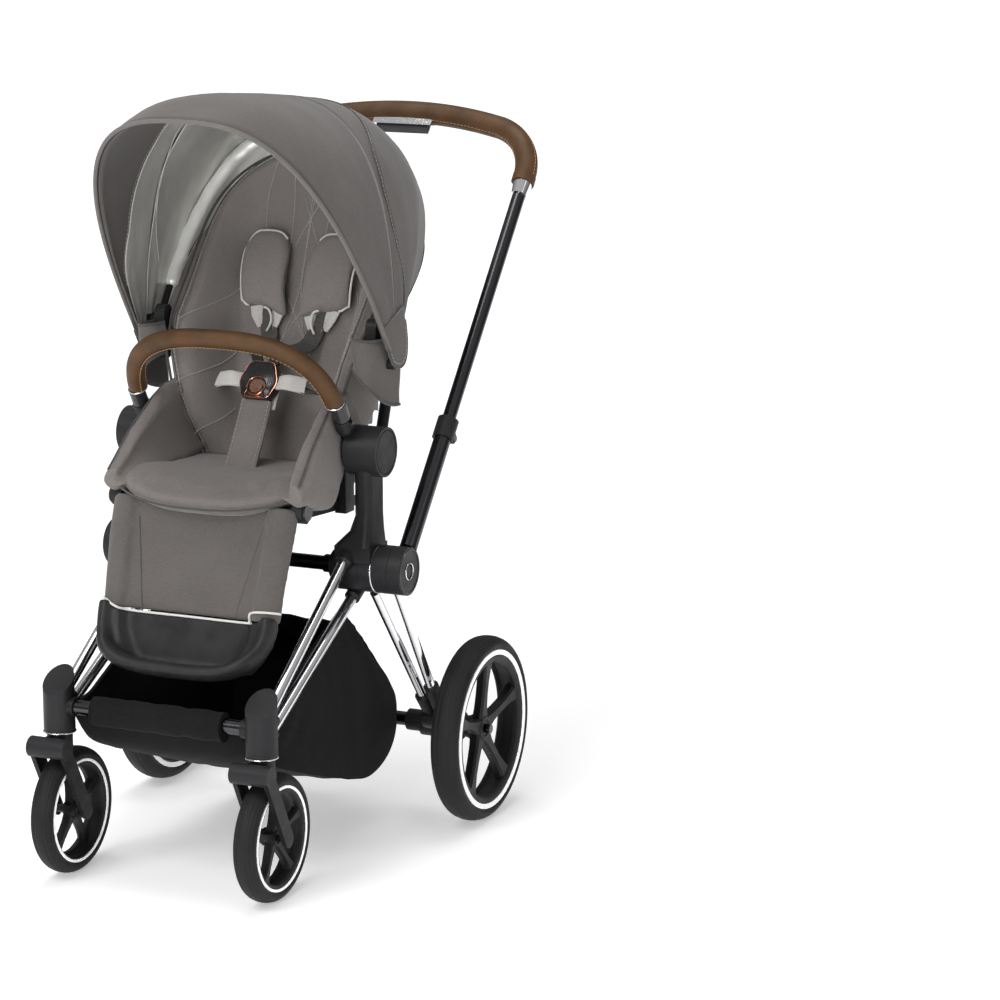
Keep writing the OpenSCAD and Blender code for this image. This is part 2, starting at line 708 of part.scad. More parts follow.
// A bow leads its panel by a few degrees and turns on the clip's pin
module canopy_bow(angle, x, reach) color("silver")
    translate([0, pivot_y, pivot_z]) rotate([180 - angle, 0, 0])
        swept_bar(arch_path(x, reach, arch_power, 0.6, 40), bow_r, 10);
module canopy_front_bow() canopy_bow(first_edge - bow_lead, canopy_half_w - 3.5, canopy_reach - 4);
module canopy_middle_bow() canopy_bow(third_edge - bow_lead, canopy_half_w - 18, crown_reach - 9);

hub_housings();
fold_axles();
seat_posts();
seat_hubs();
upper_cross_tube();
front_legs();
front_housings();
front_cross_tube();
basket();
rear_hub_drums();
rear_legs();
rear_brackets();
rear_axle();
brake_pedal();
handle_hubs();
handle_lower_tubes();
handle_clamps();
clamp_button_left();
clamp_button_right();
handle_inner_tubes();
handlebar_grip();
handle_collars();
trigger_housing();
fold_trigger();
caster_fork_left();
caster_fork_right();
front_tyre_left();
front_tyre_right();
front_rim_left();
front_rim_right();
rear_tyre_left();
rear_tyre_right();
rear_rim_left();
rear_rim_right();
seat_frame();
seat_cushion();
seat_side_panels();
crotch_strap();
buckle();
buckle_button();
bumper_bar_tube();
bumper_bar_cover();
bumper_button_left();
bumper_button_right();
leg_rest_panel();
footrest_lip();
leg_rest_button_left();
leg_rest_button_right();
backrest_pad();
backrest_frame();
recline_lever();
harness_straps();
shoulder_pads();
canopy_clips();
canopy_rear_panel();
canopy_middle_panel();
canopy_front_panel();
canopy_middle_bow();
canopy_front_bow();
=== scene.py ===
import random
from math import copysign, cos, exp, pi, radians, sin, sqrt

import bmesh
import bpy
from mathutils import Matrix, Vector
from mathutils.bvhtree import BVHTree


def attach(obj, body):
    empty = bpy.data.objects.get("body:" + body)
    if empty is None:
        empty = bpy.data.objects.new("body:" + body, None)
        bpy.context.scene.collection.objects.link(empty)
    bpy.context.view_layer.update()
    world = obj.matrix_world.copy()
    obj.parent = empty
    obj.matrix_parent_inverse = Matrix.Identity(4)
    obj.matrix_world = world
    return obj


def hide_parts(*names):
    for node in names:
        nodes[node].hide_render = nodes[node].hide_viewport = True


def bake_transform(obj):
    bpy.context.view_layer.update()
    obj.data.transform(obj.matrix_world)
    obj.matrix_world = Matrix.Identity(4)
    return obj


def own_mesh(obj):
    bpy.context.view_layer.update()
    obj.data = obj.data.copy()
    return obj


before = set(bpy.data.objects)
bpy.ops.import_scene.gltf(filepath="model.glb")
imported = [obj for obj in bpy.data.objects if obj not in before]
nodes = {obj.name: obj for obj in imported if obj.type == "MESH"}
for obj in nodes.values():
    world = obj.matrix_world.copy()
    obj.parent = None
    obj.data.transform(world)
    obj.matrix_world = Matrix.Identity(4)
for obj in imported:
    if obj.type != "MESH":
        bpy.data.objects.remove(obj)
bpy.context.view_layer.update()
scene = bpy.context.scene
V = Vector


# ---- Camera, floor and lights ----

AZIMUTH, ELEVATION = radians(24.0475), radians(12.1286)
CAMERA_AT = (2.34683, -4.44499, 1.58423)
LENS_MM, SENSOR_MM = 119.95, 36
back = V((sin(AZIMUTH) * cos(ELEVATION), -cos(AZIMUTH) * cos(ELEVATION), sin(ELEVATION)))
right = V((cos(AZIMUTH), sin(AZIMUTH), 0))
view = Matrix((right, back.cross(right), back)).transposed().to_4x4()
camera = bpy.data.objects.new("camera", bpy.data.cameras.new("camera"))
camera.matrix_world = Matrix.Translation(CAMERA_AT) @ view
camera.data.lens = LENS_MM
camera.data.sensor_width = SENSOR_MM
camera.data.clip_end = 200
scene.collection.objects.link(camera)
scene.camera = camera
scene.view_settings.view_transform = "Standard"

# The sky lights the object from above, and the camera sees plain white behind it.
world = bpy.data.worlds.new("studio")
scene.world = world
world.use_nodes = True
world_nodes, world_link = world.node_tree.nodes, world.node_tree.links.new
world_nodes.clear()
place, height, sky_ramp, sky, backdrop, ray, choice, sky_out = (
    world_nodes.new("ShaderNode" + kind)
    for kind in ("TexCoord", "SeparateXYZ", "ValToRGB", "Background", "Background", "LightPath", "MixShader",
                 "OutputWorld"))
for element, at, grey in zip(sky_ramp.color_ramp.elements, (0.0, 0.75), ((0.22, 0.22, 0.225, 1), (1, 1, 1, 1))):
    element.position, element.color = at, grey
sky.inputs["Strength"].default_value = 0.42
backdrop.inputs["Color"].default_value = (1, 1, 1, 1)
world_link(place.outputs["Generated"], height.inputs[0])
world_link(height.outputs["Z"], sky_ramp.inputs[0])
world_link(sky_ramp.outputs[0], sky.inputs["Color"])
world_link(ray.outputs["Is Camera Ray"], choice.inputs[0])
world_link(sky.outputs[0], choice.inputs[1])
world_link(backdrop.outputs[0], choice.inputs[2])
world_link(choice.outputs[0], sky_out.inputs[0])


def area_light(name, place, target, size, power):
    """A soft box at place, turned to the target. size in metres, power in watts."""
    light = bpy.data.lights.new(name, "AREA")
    light.shape = "RECTANGLE"
    light.size, light.size_y = size
    light.energy = power
    lamp = bpy.data.objects.new(name, light)
    lamp.location = place
    lamp.rotation_euler = (V(target) - V(place)).to_track_quat("-Z", "Y").to_euler()
    scene.collection.objects.link(lamp)


area_light("key", (-0.9, -3.2, 3.6), (0, 0, 0.4), (1.6, 2.0), 78)
area_light("fill", (3.6, -1.0, 2.0), (0, 0, 0.5), (0.9, 2.6), 9)
area_light("top", (-0.2, 0.2, 3.8), (0, 0, 0.3), (2.2, 1.8), 55)
area_light("front", (0.6, -4.6, 1.5), (0, 0, 0.75), (1.4, 1.4), 62)


# ---- Materials ----

class Shader:
    """A Principled material and short names for the nodes that feed it."""

    def __init__(self, name, rough, **settings):
        self.material = bpy.data.materials.new(name)
        self.material.use_nodes = True
        self.tree = self.material.node_tree
        self.bsdf = self.tree.nodes["Principled BSDF"]
        self.coord = self.node("ShaderNodeTexCoord")
        self.bsdf.inputs["Roughness"].default_value = rough
        for key, value in settings.items():
            self.bsdf.inputs[key.replace("_", " ")].default_value = value

    def node(self, kind, **values):
        node = self.tree.nodes.new(kind)
        for key, value in values.items():
            setattr(node, key, value)
        return node

    def link(self, a, b):
        self.tree.links.new(a, b)

    def spread(self, scale, turn=(0, 0, 0)):
        """Object coordinates, stretched and turned."""
        mapping = self.node("ShaderNodeMapping")
        mapping.inputs["Scale"].default_value = scale if hasattr(scale, "__len__") else (scale,) * 3
        mapping.inputs["Rotation"].default_value = turn
        self.link(self.coord.outputs["Object"], mapping.inputs[0])
        return mapping.outputs[0]

    def noise(self, scale, detail=2.0, rough=0.5, turn=(0, 0, 0)):
        node = self.node("ShaderNodeTexNoise")
        node.inputs["Scale"].default_value = 1.0
        node.inputs["Detail"].default_value = detail
        node.inputs["Roughness"].default_value = rough
        self.link(self.spread(scale, turn), node.inputs["Vector"])
        return node.outputs["Fac"]

    def cells(self, scale):
        node = self.node("ShaderNodeTexVoronoi")
        node.inputs["Scale"].default_value = 1.0
        self.link(self.spread(scale), node.inputs["Vector"])
        return node.outputs["Distance"]

    def waves(self, scale, direction, turn=(0, 0, 0)):
        node = self.node("ShaderNodeTexWave", wave_type="BANDS", bands_direction=direction)
        node.inputs["Scale"].default_value = scale
        self.link(self.spread(1.0, turn), node.inputs["Vector"])
        return node.outputs["Fac"]

    def math(self, kind, a, b):
        node = self.node("ShaderNodeMath", operation=kind)
        for value, socket in ((a, node.inputs[0]), (b, node.inputs[1])):
            if hasattr(value, "links"):
                self.link(value, socket)
            else:
                socket.default_value = value
        return node.outputs[0]

    def ramp(self, fac, stops):
        node = self.node("ShaderNodeValToRGB")
        elements = node.color_ramp.elements
        while len(elements) < len(stops):
            elements.new(0.5)
        for element, (place, colour) in zip(elements, stops):
            element.position = place
            element.color = (*colour, 1) if hasattr(colour, "__len__") else (colour, colour, colour, 1)
        self.link(fac, node.inputs[0])
        return node.outputs[0]

    def colour(self, fac, low, high, start=0.3, end=0.7):
        self.link(self.ramp(fac, ((start, low), (end, high))), self.bsdf.inputs["Base Color"])

    def roughness(self, fac, low, high, start=0.3, end=0.7):
        self.link(self.ramp(fac, ((start, low), (end, high))), self.bsdf.inputs["Roughness"])

    def bump(self, height, distance, strength=1.0, below=None):
        node = self.node("ShaderNodeBump")
        node.inputs["Distance"].default_value = distance
        node.inputs["Strength"].default_value = strength
        self.link(height, node.inputs["Height"])
        if below is not None:
            self.link(below, node.inputs["Normal"])
        self.link(node.outputs[0], self.bsdf.inputs["Normal"])
        return node.outputs[0]

    def wear(self):
        """Bright on convex edges, dark in corners."""
        return self.node("ShaderNodeNewGeometry").outputs["Pointiness"]


def mixed(colour, factor):
    return tuple(c * factor for c in colour)


def woven(name, colour, contrast=0.16, thread=1.0, depth=0.0004, sheen=0.25):
    s = Shader(name, 0.92, Sheen_Weight=sheen, Sheen_Roughness=0.45, Specular_IOR_Level=0.2)
    warp = s.noise((1400 * thread, 1400 * thread, 130), 1.5)
    weft = s.noise((150, 150, 1500 * thread), 1.5)
    slub = s.math("ADD", s.math("MULTIPLY", warp, 0.5), s.math("MULTIPLY", weft, 0.5))
    cloud = s.noise(9, 3)
    shade = s.math("ADD", s.math("MULTIPLY", slub, 0.7), s.math("MULTIPLY", cloud, 0.3))
    s.colour(shade, mixed(colour, 1 - contrast), mixed(colour, 1 + contrast), 0.38, 0.62)
    crease = s.bump(s.noise((11, 11, 7), 3), 0.006, 0.35)
    s.bump(slub, depth, 0.5, crease)
    return s.material


def leather(name, colour, rough=0.42, grain=900, dark=0.55):
    s = Shader(name, rough, Coat_Weight=0.02, Coat_Roughness=0.4, Specular_IOR_Level=0.22)
    patina = s.noise(26, 4)
    s.colour(patina, mixed(colour, 0.78), mixed(colour, 1.2))
    s.roughness(s.noise(60, 2), rough - 0.08, rough + 0.12)
    pores = s.cells(grain)
    s.bump(s.math("ADD", pores, s.noise(grain * 0.5, 2)), 0.0003, dark)
    return s.material


def plastic(name, colour, rough=0.45, grain=1500, level=0.35):
    s = Shader(name, rough, Specular_IOR_Level=level)
    edge = s.ramp(s.wear(), ((0.5, mixed(colour, 0.9)), (0.62, mixed(colour, 2.2))))
    s.link(edge, s.bsdf.inputs["Base Color"])
    s.roughness(s.noise(40, 3), rough - 0.06, rough + 0.08)
    s.bump(s.noise(grain, 1), 0.00012, 0.45)
    return s.material


def metal(name, colour, rough, streak=0.05, turn=(0, 0, 0)):
    s = Shader(name, rough, Metallic=1.0)
    s.colour(s.noise(7, 2), mixed(colour, 0.94), mixed(colour, 1.03))
    s.roughness(s.noise((300, 300, 12), 2, 0.5, turn), max(0.02, rough - streak), rough + streak)
    s.bump(s.noise((700, 700, 30), 1, 0.5, turn), 0.00003, 0.08)
    return s.material


def thread(name, colour):
    s = Shader(name, 0.7, Sheen_Weight=0.3)
    twist = s.waves(260, "DIAGONAL")
    s.colour(twist, mixed(colour, 0.7), colour, 0.1, 0.8)
    s.bump(twist, 0.0002, 0.5)
    return s.material


def painted_glow(material, colour, strength):
    """A painted glow that stands in for the little daylight that thin cloth lets through."""
    shader = material.node_tree.nodes["Principled BSDF"]
    shader.inputs["Emission Color"].default_value = (*colour, 1)
    shader.inputs["Emission Strength"].default_value = strength
    return material


TAUPE = (0.108, 0.0985, 0.0925)
cloth = woven("taupe weave", TAUPE)
# A lighter copy of the taupe weave: painted light on the backrest and shoulder pads, which sit in the canopy's shade.
backrest_cloth_painted_light = woven("backrest weave with painted light", (0.212, 0.193, 0.182), 0.14)
# A lighter copy of the taupe weave: painted light on the seat cushion, side wings and crotch strap.
cloth_lit = woven("seat weave with painted light", (0.176, 0.160, 0.151))
cloth_dark = woven("charcoal weave", (0.075, 0.072, 0.070), 0.2)
# A lighter copy of the taupe weave with a painted glow: painted light on the canopy's rear band, which sits in shade.
band_cloth_painted_light = painted_glow(woven("band weave with painted light", (0.190, 0.174, 0.163), 0.14), (1.0, 0.93, 0.88), 0.040)
facing_cloth = woven("facing weave", (0.102, 0.093, 0.088), 0.2)
hem_cloth = woven("hem tape", (0.150, 0.140, 0.134), 0.12, 1.4)
webbing = woven("webbing", (0.088, 0.082, 0.077), 0.25, 0.7, 0.0006, 0.1)
pale_felt = woven("pale backing", (0.56, 0.545, 0.52), 0.08, 0.8)
piping_pale = thread("pale piping", (0.80, 0.79, 0.76))
stitch_pale = thread("pale stitching", (0.46, 0.44, 0.415))
stitch_tan = thread("tan stitching", (0.50, 0.30, 0.14))
basket_cloth = woven("basket weave", (0.0075, 0.0075, 0.0082), 0.3, 0.6, 0.0005, 0.02)
binding_black = woven("black binding", (0.010, 0.010, 0.011), 0.3, 0.9, 0.0004, 0.05)
tan_leather = leather("tan leather", (0.086, 0.0425, 0.0172), 0.5)
black_leather = leather("black leather", (0.024, 0.024, 0.0245), 0.38, 1100, 0.4)
black_plastic = plastic("satin black plastic", (0.0090, 0.0090, 0.0098), 0.44, level=0.24)
wheel_plastic = plastic("wheel plastic", (0.010, 0.010, 0.0105), 0.5, 900, 0.26)
gloss_black = plastic("gloss black plastic", (0.012, 0.012, 0.013), 0.16, 400, 0.5)
white_plastic = plastic("white wheel ring", (0.86, 0.86, 0.86), 0.3, 300, 0.4)
chrome = metal("chrome", (0.86, 0.86, 0.88), 0.06, 0.03)
dark_anodised = metal("dark anodised", (0.075, 0.075, 0.080), 0.2, 0.015)
steel = metal("turned steel", (0.45, 0.45, 0.47), 0.25, 0.08)
copper = metal("copper coloured", (0.62, 0.27, 0.17), 0.2, 0.05)
dark_copper = metal("dark copper", (0.16, 0.085, 0.06), 0.25, 0.05)


def satin_lining(name, low, high):
    s = Shader(name, 0.34, Metallic=0.45, Sheen_Weight=0.2)
    fold = s.noise((14, 14, 5), 3)
    # The colour follows the fold noise that shapes the creases: painted shade in the hollows of the folds and painted
    # sheen on their crests.
    s.colour(fold, low, high)
    creases = s.bump(fold, 0.012, 0.6)
    s.bump(s.noise(900, 1), 0.0002, 0.3, creases)
    return s.material


def rubber():
    s = Shader("tyre rubber", 0.62, Specular_IOR_Level=0.25)
    dust = s.noise(22, 4)
    s.colour(dust, (0.008, 0.008, 0.0085), (0.018, 0.018, 0.0185))
    s.roughness(dust, 0.5, 0.72)
    s.bump(s.noise(1300, 2), 0.00025, 0.6)
    return s.material


def mesh_cloth(name, colour, pitch=420, hole=0.42):
    """Cloth with square see-through holes."""
    s = Shader(name, 0.8)
    s.colour(s.noise(120, 2), mixed(colour, 0.8), mixed(colour, 1.25))
    across, up = s.waves(pitch, "X"), s.waves(pitch, "Z")
    cut = s.math("MULTIPLY", s.math("GREATER_THAN", across, hole), s.math("GREATER_THAN", up, hole))
    s.link(s.math("SUBTRACT", 1.0, cut), s.bsdf.inputs["Alpha"])
    s.bump(s.math("ADD", across, up), 0.0005, 0.6)
    return s.material


lining = satin_lining("silver lining", (0.42, 0.42, 0.395), (0.60, 0.60, 0.57))
# A lighter copy of the silver lining with a painted glow: painted light on the rear lining, the bow sleeve and its web.
lining_painted_light = satin_lining("satin with painted light", (0.66, 0.66, 0.635), (0.88, 0.88, 0.85))
lining_painted_light = painted_glow(lining_painted_light, (1.0, 0.99, 0.96), 0.07)
tyre_rubber = rubber()
black_mesh = mesh_cloth("black mesh", (0.03, 0.03, 0.032))


# ---- Mesh building ----

class Shape:
    """Collects faces from several simple forms into one mesh."""

    def __init__(self):
        self.points, self.faces, self.slots = [], [], []

    def add(self, points, faces, slot=0):
        base = len(self.points)
        self.points += [V(p) for p in points]
        self.faces += [tuple(base + i for i in f) for f in faces]
        self.slots += [slot] * len(faces)
        return self

    def grid(self, rows, slot=0, closed=False, capped=False):
        """A sheet through rows of points. closed joins each row's end to its start, capped fills both ends."""
        n, width = len(rows), len(rows[0])
        faces = [
            (i * width + j, i * width + (j + 1) % width, (i + 1) * width + (j + 1) % width, (i + 1) * width + j)
            for i in range(n - 1)
            for j in range(width if closed else width - 1)
        ]
        if capped:
            faces += [tuple(range(width - 1, -1, -1)), tuple((n - 1) * width + j for j in range(width))]
        return self.add([p for row in rows for p in row], faces, slot)

    def skin(self, rows, slot=0):
        """A closed form lofted through loops of points, with flat ends."""
        return self.grid(rows, slot, True, True)

    def tube(self, path, radius, sides=10, slot=0, closed=False, flat=1.0, up=None):
        """A round or oval bar along a path. flat squeezes it across up."""
        path = [V(p) for p in path]
        n = len(path)
        if closed:
            tangents = [(path[(i + 1) % n] - path[i - 1]).normalized() for i in range(n)]
        else:
            tangents = [tangent(path, i) for i in range(n)]
        side = tangents[0].orthogonal().normalized()
        rows = []
        for i, (p, t) in enumerate(zip(path, tangents)):
            if up:
                side = V(up(p) if callable(up) else up).cross(t).normalized()
            else:
                side = (side - t * side.dot(t)).normalized()
            other = t.cross(side)
            r = radius(i / (n - 1)) if callable(radius) else radius
            rows.append([p + side * r * cos(a) + other * r * flat * sin(a) for a in turns(sides)])
        if closed:
            rows.append(rows[0])
            return self.grid(rows, slot, True)
        return self.skin(rows, slot)

    def band(self, path, normal, width, thick, slot=0, crown=0.0):
        """A flat strap along a path, its face towards the normal."""
        rows = []
        n = len(path)
        path = [V(p) for p in path]
        for i, p in enumerate(path):
            t = tangent(path, i)
            up = (V(normal) - t * V(normal).dot(t)).normalized()
            side = t.cross(up)
            w = (width(i / (n - 1)) if callable(width) else width) / 2
            h = thick / 2
            section = [
                (-w, -h * 0.5), (-w, h * 0.5), (-w * 0.9, h), (-w * 0.45, h + crown * 0.8), (0, h + crown),
                (w * 0.45, h + crown * 0.8), (w * 0.9, h), (w, h * 0.5), (w, -h * 0.5), (w * 0.9, -h), (0, -h),
                (-w * 0.9, -h),
            ]
            rows.append([p + side * a + up * b for a, b in section])
        return self.skin(rows, slot)

    def lathe(self, profile, centre, axis=(1, 0, 0), sides=64, slot=0, closed=False):
        """A profile of (along, radius) turned about an axis."""
        axis = V(axis).normalized()
        u = axis.orthogonal().normalized()
        w = axis.cross(u)
        rows = [[V(centre) + axis * a + (u * cos(t) + w * sin(t)) * r for t in turns(sides)] for a, r in profile]
        if closed:
            return self.grid(rows + [rows[0]], slot, True)
        return self.skin(rows, slot)

    def mirrored(self):
        other = Shape()
        other.points = [V((-p.x, p.y, p.z)) for p in self.points]
        other.faces = [tuple(reversed(f)) for f in self.faces]
        other.slots = list(self.slots)
        return other

    def join(self, other):
        base = len(self.points)
        self.points += other.points
        self.faces += [tuple(base + i for i in f) for f in other.faces]
        self.slots += other.slots
        return self

    def both(self):
        return self.join(self.mirrored())

    def piece(self, name, body, materials, slot, replaces=(), angle=40, weld=0.0, thick=0.0):
        """Makes the object. Edges sharper than angle stay crisp, and thick turns a sheet into a layer."""
        mesh = bpy.data.meshes.new(name)
        mesh.from_pydata([tuple(p) for p in self.points], [], self.faces)
        for material in materials:
            mesh.materials.append(material)
        mesh.polygons.foreach_set("material_index", self.slots)
        if weld:
            bm = bmesh.new()
            bm.from_mesh(mesh)
            bmesh.ops.remove_doubles(bm, verts=bm.verts, dist=weld)
            bmesh.ops.recalc_face_normals(bm, faces=bm.faces)
            bm.to_mesh(mesh)
            bm.free()
        mesh.polygons.foreach_set("use_smooth", [True] * len(mesh.polygons))
        mesh.set_sharp_from_angle(angle=radians(angle))
        mesh.update()
        obj = bpy.data.objects.new(name, mesh)
        scene.collection.objects.link(obj)
        if thick:
            thicken(obj, thick, 0)
        if body:
            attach(obj, body)
        if replaces:
            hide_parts(*replaces)
        return obj


def apply_modifiers(obj):
    depsgraph = bpy.context.evaluated_depsgraph_get()
    mesh = bpy.data.meshes.new_from_object(obj.evaluated_get(depsgraph))
    obj.modifiers.clear()
    old = obj.data
    obj.data = mesh
    bpy.data.meshes.remove(old)


def thicken(obj, thick, offset):
    solid = obj.modifiers.new("thick", "SOLIDIFY")
    solid.thickness = thick
    solid.offset = offset
    apply_modifiers(obj)


def turns(count):
    """Equal steps round a circle, in radians."""
    return [2 * pi * k / count for k in range(count)]


def tangent(path, i):
    return (path[min(i + 1, len(path) - 1)] - path[max(i - 1, 0)]).normalized()


def smooth_path(points, steps=8):
    """A Catmull-Rom curve through points."""
    pts = [V(p) for p in points]
    out = []
    for i in range(len(pts) - 1):
        p0, p1, p2, p3 = pts[max(i - 1, 0)], pts[i], pts[i + 1], pts[min(i + 2, len(pts) - 1)]
        for k in range(steps):
            t = k / steps
            out.append(0.5 * ((2 * p1) + (p2 - p0) * t + (2 * p0 - 5 * p1 + 4 * p2 - p3) * t * t
                              + (3 * p1 - p0 - 3 * p2 + p3) * t ** 3))
    return out + [pts[-1]]


def even_path(points, step):
    """The same line with points every step metres."""
    pts = [V(p) for p in points]
    out, need = [pts[0]], step
    for a, b in zip(pts, pts[1:]):
        length, at = (b - a).length, 0.0
        while length - at >= need:
            at += need
            out.append(a + (b - a) * at / length)
            need = step
        need -= length - at
    return out


def lerp_table(table, x):
    """Straight lines between (x, value) pairs."""
    if x <= table[0][0]:
        return table[0][1]
    for (a, fa), (b, fb) in zip(table, table[1:]):
        if x <= b:
            t = (x - a) / (b - a)
            return fa + (fb - fa) * t
    return table[-1][1]


def ease(t):
    t = min(1.0, max(0.0, t))
    return t * t * (3 - 2 * t)


def stitches(shape, path, length=0.0042, gap=0.0024, radius=0.00055, slot=0):
    """A row of short threads along a path."""
    pts = even_path(path, 0.0011)
    per, every = max(2, round(length / 0.0011)), max(3, round((length + gap) / 0.0011))
    for i in range(0, len(pts) - per, every):
        shape.tube(pts[i:i + per + 1:per // 2 or 1], radius, 5, slot)
    return shape


def sewn(shape, name, moves, materials, slot="seat_fabric", replaces=(), weld=0.0):
    """A soft piece that moves with a body; when moves names two bodies, it is left unparented where it was built."""
    folds = not isinstance(moves, str)
    obj = shape.piece(name, None if folds else moves, materials, slot, replaces, 60, weld)
    if folds:
        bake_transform(obj)
    return obj


# ---- Finishes on the CAD parts ----

finishes = {
    black_plastic: [
        "hub_housings", "seat_posts", "seat_hubs", "front_housings", "rear_hub_drums", "rear_brackets", "brake_pedal",
        "handle_hubs", "handle_clamps", "caster_fork_left", "caster_fork_right", "seat_frame", "backrest_frame",
        "canopy_clips", "recline_lever", "canopy_middle_bow", "fold_trigger", "canopy_front_bow"],
    gloss_black: ["clamp_button_left", "clamp_button_right", "bumper_button_left", "bumper_button_right",
                  "leg_rest_button_left", "leg_rest_button_right", "bumper_bar_tube"],
    dark_anodised: ["upper_cross_tube", "front_cross_tube", "rear_axle", "handle_lower_tubes", "handle_inner_tubes"],
    chrome: ["front_legs", "rear_legs", "handle_collars", "trigger_housing"],
    steel: ["fold_axles"],
    dark_copper: ["buckle_button"],
}
for finish, names in finishes.items():
    for name in names:
        node = nodes[name]
        node.data.materials.clear()
        node.data.materials.append(finish)


# ---- Wheels ----

TREAD_GROOVES, GROOVE_DEPTH = (0.16, 0.42, 0.66), 0.0011
SPOKES = 5


def wheel(name, centre, r, width, rim_r, hub_r, body, end):
    """Tyre, five-spoke rim and white rings, drawn on the stroller's left and mirrored for the right."""
    c = V((abs(centre[0]), centre[1], centre[2]))
    h = width / 2
    crown = (r - rim_r) * 0.82
    tread = []
    for i in range(37):
        t = radians(-90 + 5 * i)
        a = h * copysign(abs(sin(t)) ** 0.9, sin(t))
        groove = GROOVE_DEPTH if any(abs(abs(a) - g * h) < 0.045 * h for g in TREAD_GROOVES) else 0.0
        tread.append((a, r - crown + (crown - groove) * cos(t)))
    shoulder = [(h * 0.9, rim_r - 0.001), (-h * 0.9, rim_r - 0.001)]
    tyre = Shape().lathe(shoulder[:1] + tread[::-1] + shoulder[1:], c, sides=96, closed=True)
    k = rim_r / 0.127
    e = h - 0.002
    rim = Shape().lathe(
        [(e, rim_r), (e, rim_r - 0.010 * k), (e - 0.001, rim_r - 0.018 * k), (e - 0.004, rim_r - 0.0215 * k),
         (e - 0.010, rim_r - 0.0215 * k), (e - 0.014, rim_r - 0.017 * k), (-e + 0.010, rim_r - 0.013 * k),
         (-e + 0.003, rim_r - 0.016 * k), (-e, rim_r - 0.013 * k), (-e, rim_r)], c, sides=96, closed=True)
    face = e - 0.013 * k
    root = hub_r * 0.35
    for i in range(SPOKES):
        turn = radians(90 + 360 / SPOKES * i)
        u = V((0, cos(turn), sin(turn)))
        w = V((0, -sin(turn), cos(turn)))
        rows = []
        for f in (0.0, 0.12, 0.25, 0.45, 0.65, 0.82, 0.93, 1.0):
            rho = root + (rim_r - 0.014 * k - root) * f
            half = k * (0.0155 - 0.0075 * ease(f / 0.35) + 0.008 * ease((f - 0.7) / 0.3))
            top = face + (e - 0.003 - face) * f ** 1.6
            low = -e * 0.45 + (e * 0.05 + e * 0.45) * f
            mid = (top + low) / 2
            section = [(-half, top - 0.004), (-half * 0.7, top), (half * 0.7, top), (half, top - 0.004),
                       (half * 0.92, mid), (half * 0.8, low), (-half * 0.8, low), (-half * 0.92, mid)]
            rows.append([c + u * rho + w * s + V((a, 0, 0)) for s, a in section])
        rim.skin(rows)
    rim.lathe([(face - 0.02, hub_r), (face - 0.002, hub_r), (face + 0.0015, hub_r * 0.88), (face + 0.0022, hub_r * 0.62),
               (face + 0.0008, hub_r * 0.58), (face + 0.0008, 0.0005)], c, sides=48)
    rim.lathe([(face - 0.018, 0.0005), (face - 0.018, hub_r * 1.02), (-e * 0.3, hub_r), (-e - 0.001, hub_r * 0.8)],
              c, sides=48)
    rings = Shape()
    for way in (1, -1):
        rings.lathe([(way * a, b) for a, b in (
            (e - 0.0015, rim_r - 0.002), (e + 0.0014, rim_r - 0.0026), (e + 0.0018, rim_r - 0.006 * k),
            (e + 0.0012, rim_r - 0.0098 * k), (e - 0.0015, rim_r - 0.0104 * k))], c, sides=128, closed=True)
    for shape, part, material, slot, stands_for, angle in (
            (tyre, "tyre_skin", tyre_rubber, "tyre_black", "tyre", 50),
            (rim, "rim_cast", wheel_plastic, "wheel_black", "rim", 35),
            (rings, "white_rings", white_plastic, "wheel_black", None, 50)):
        shape = shape if centre[0] > 0 else shape.mirrored()
        shape.piece(f"{name}_wheel_{end}_{part}", body, [material], slot,
                    [f"{name}_{stands_for}_{end}"] if stands_for else (), weld=1e-5, angle=angle)


for side, tag, end in ((1, "l", "left"), (-1, "r", "right")):
    wheel("front", (0.168 * side, -0.371, 0.095), 0.095, 0.036, 0.080, 0.0135, f"front_wheel_{tag}", end)
    wheel("rear", (0.278 * side, 0.115, 0.145), 0.145, 0.046, 0.127, 0.021, f"rear_wheel_{tag}", end)


# ---- Bright trim on the frame ----

HUB = V((0, -0.085, 0.436))
LEFTWARD = V((1, 0, 0))


def hoop(shape, centre, axis, r, thick, sides=64, slot=0):
    """A thin half-round ring."""
    section = [(thick * cos(t) * 0.5, r + thick * 0.5 * sin(t)) for t in turns(8)]
    return shape.lathe(section, centre, axis, sides, slot, closed=True)


def chrome_ring(name, body, centre, axis, r, thick):
    hoop(Shape(), centre, axis, r, thick).both().piece(name, body, [chrome], "leg_chrome", angle=60)


chrome_ring("frame_trim_rings", "chassis", (0.168, -0.398, 0.2235), (0, 0, 1), 0.0236, 0.0024)
chrome_ring("rear_drum_rings", "rear_frame", HUB + LEFTWARD * 0.2050, LEFTWARD, 0.0364, 0.0022)

badge = hoop(Shape(), HUB + LEFTWARD * 0.2535, LEFTWARD, 0.0125, 0.0022)
badge_rim = [(0, 0.0335), (0.0012, 0.033), (0.0012, 0.0322), (0, 0.032)]
badge.lathe(badge_rim, HUB + LEFTWARD * 0.2529, slot=1, closed=True)
badge.both().piece("hub_cap_rings", "handle", [chrome, gloss_black], "leg_chrome", angle=50)


# ---- Handlebar and bumper bar ----

TILT = radians(40.25)
tube_dir = V((0, sin(TILT), cos(TILT)))
tube_out = V((0, -cos(TILT), sin(TILT)))


def on_handle(x, along, out=0.0):
    return HUB + V((x, 0, 0)) + tube_dir * along + tube_out * out


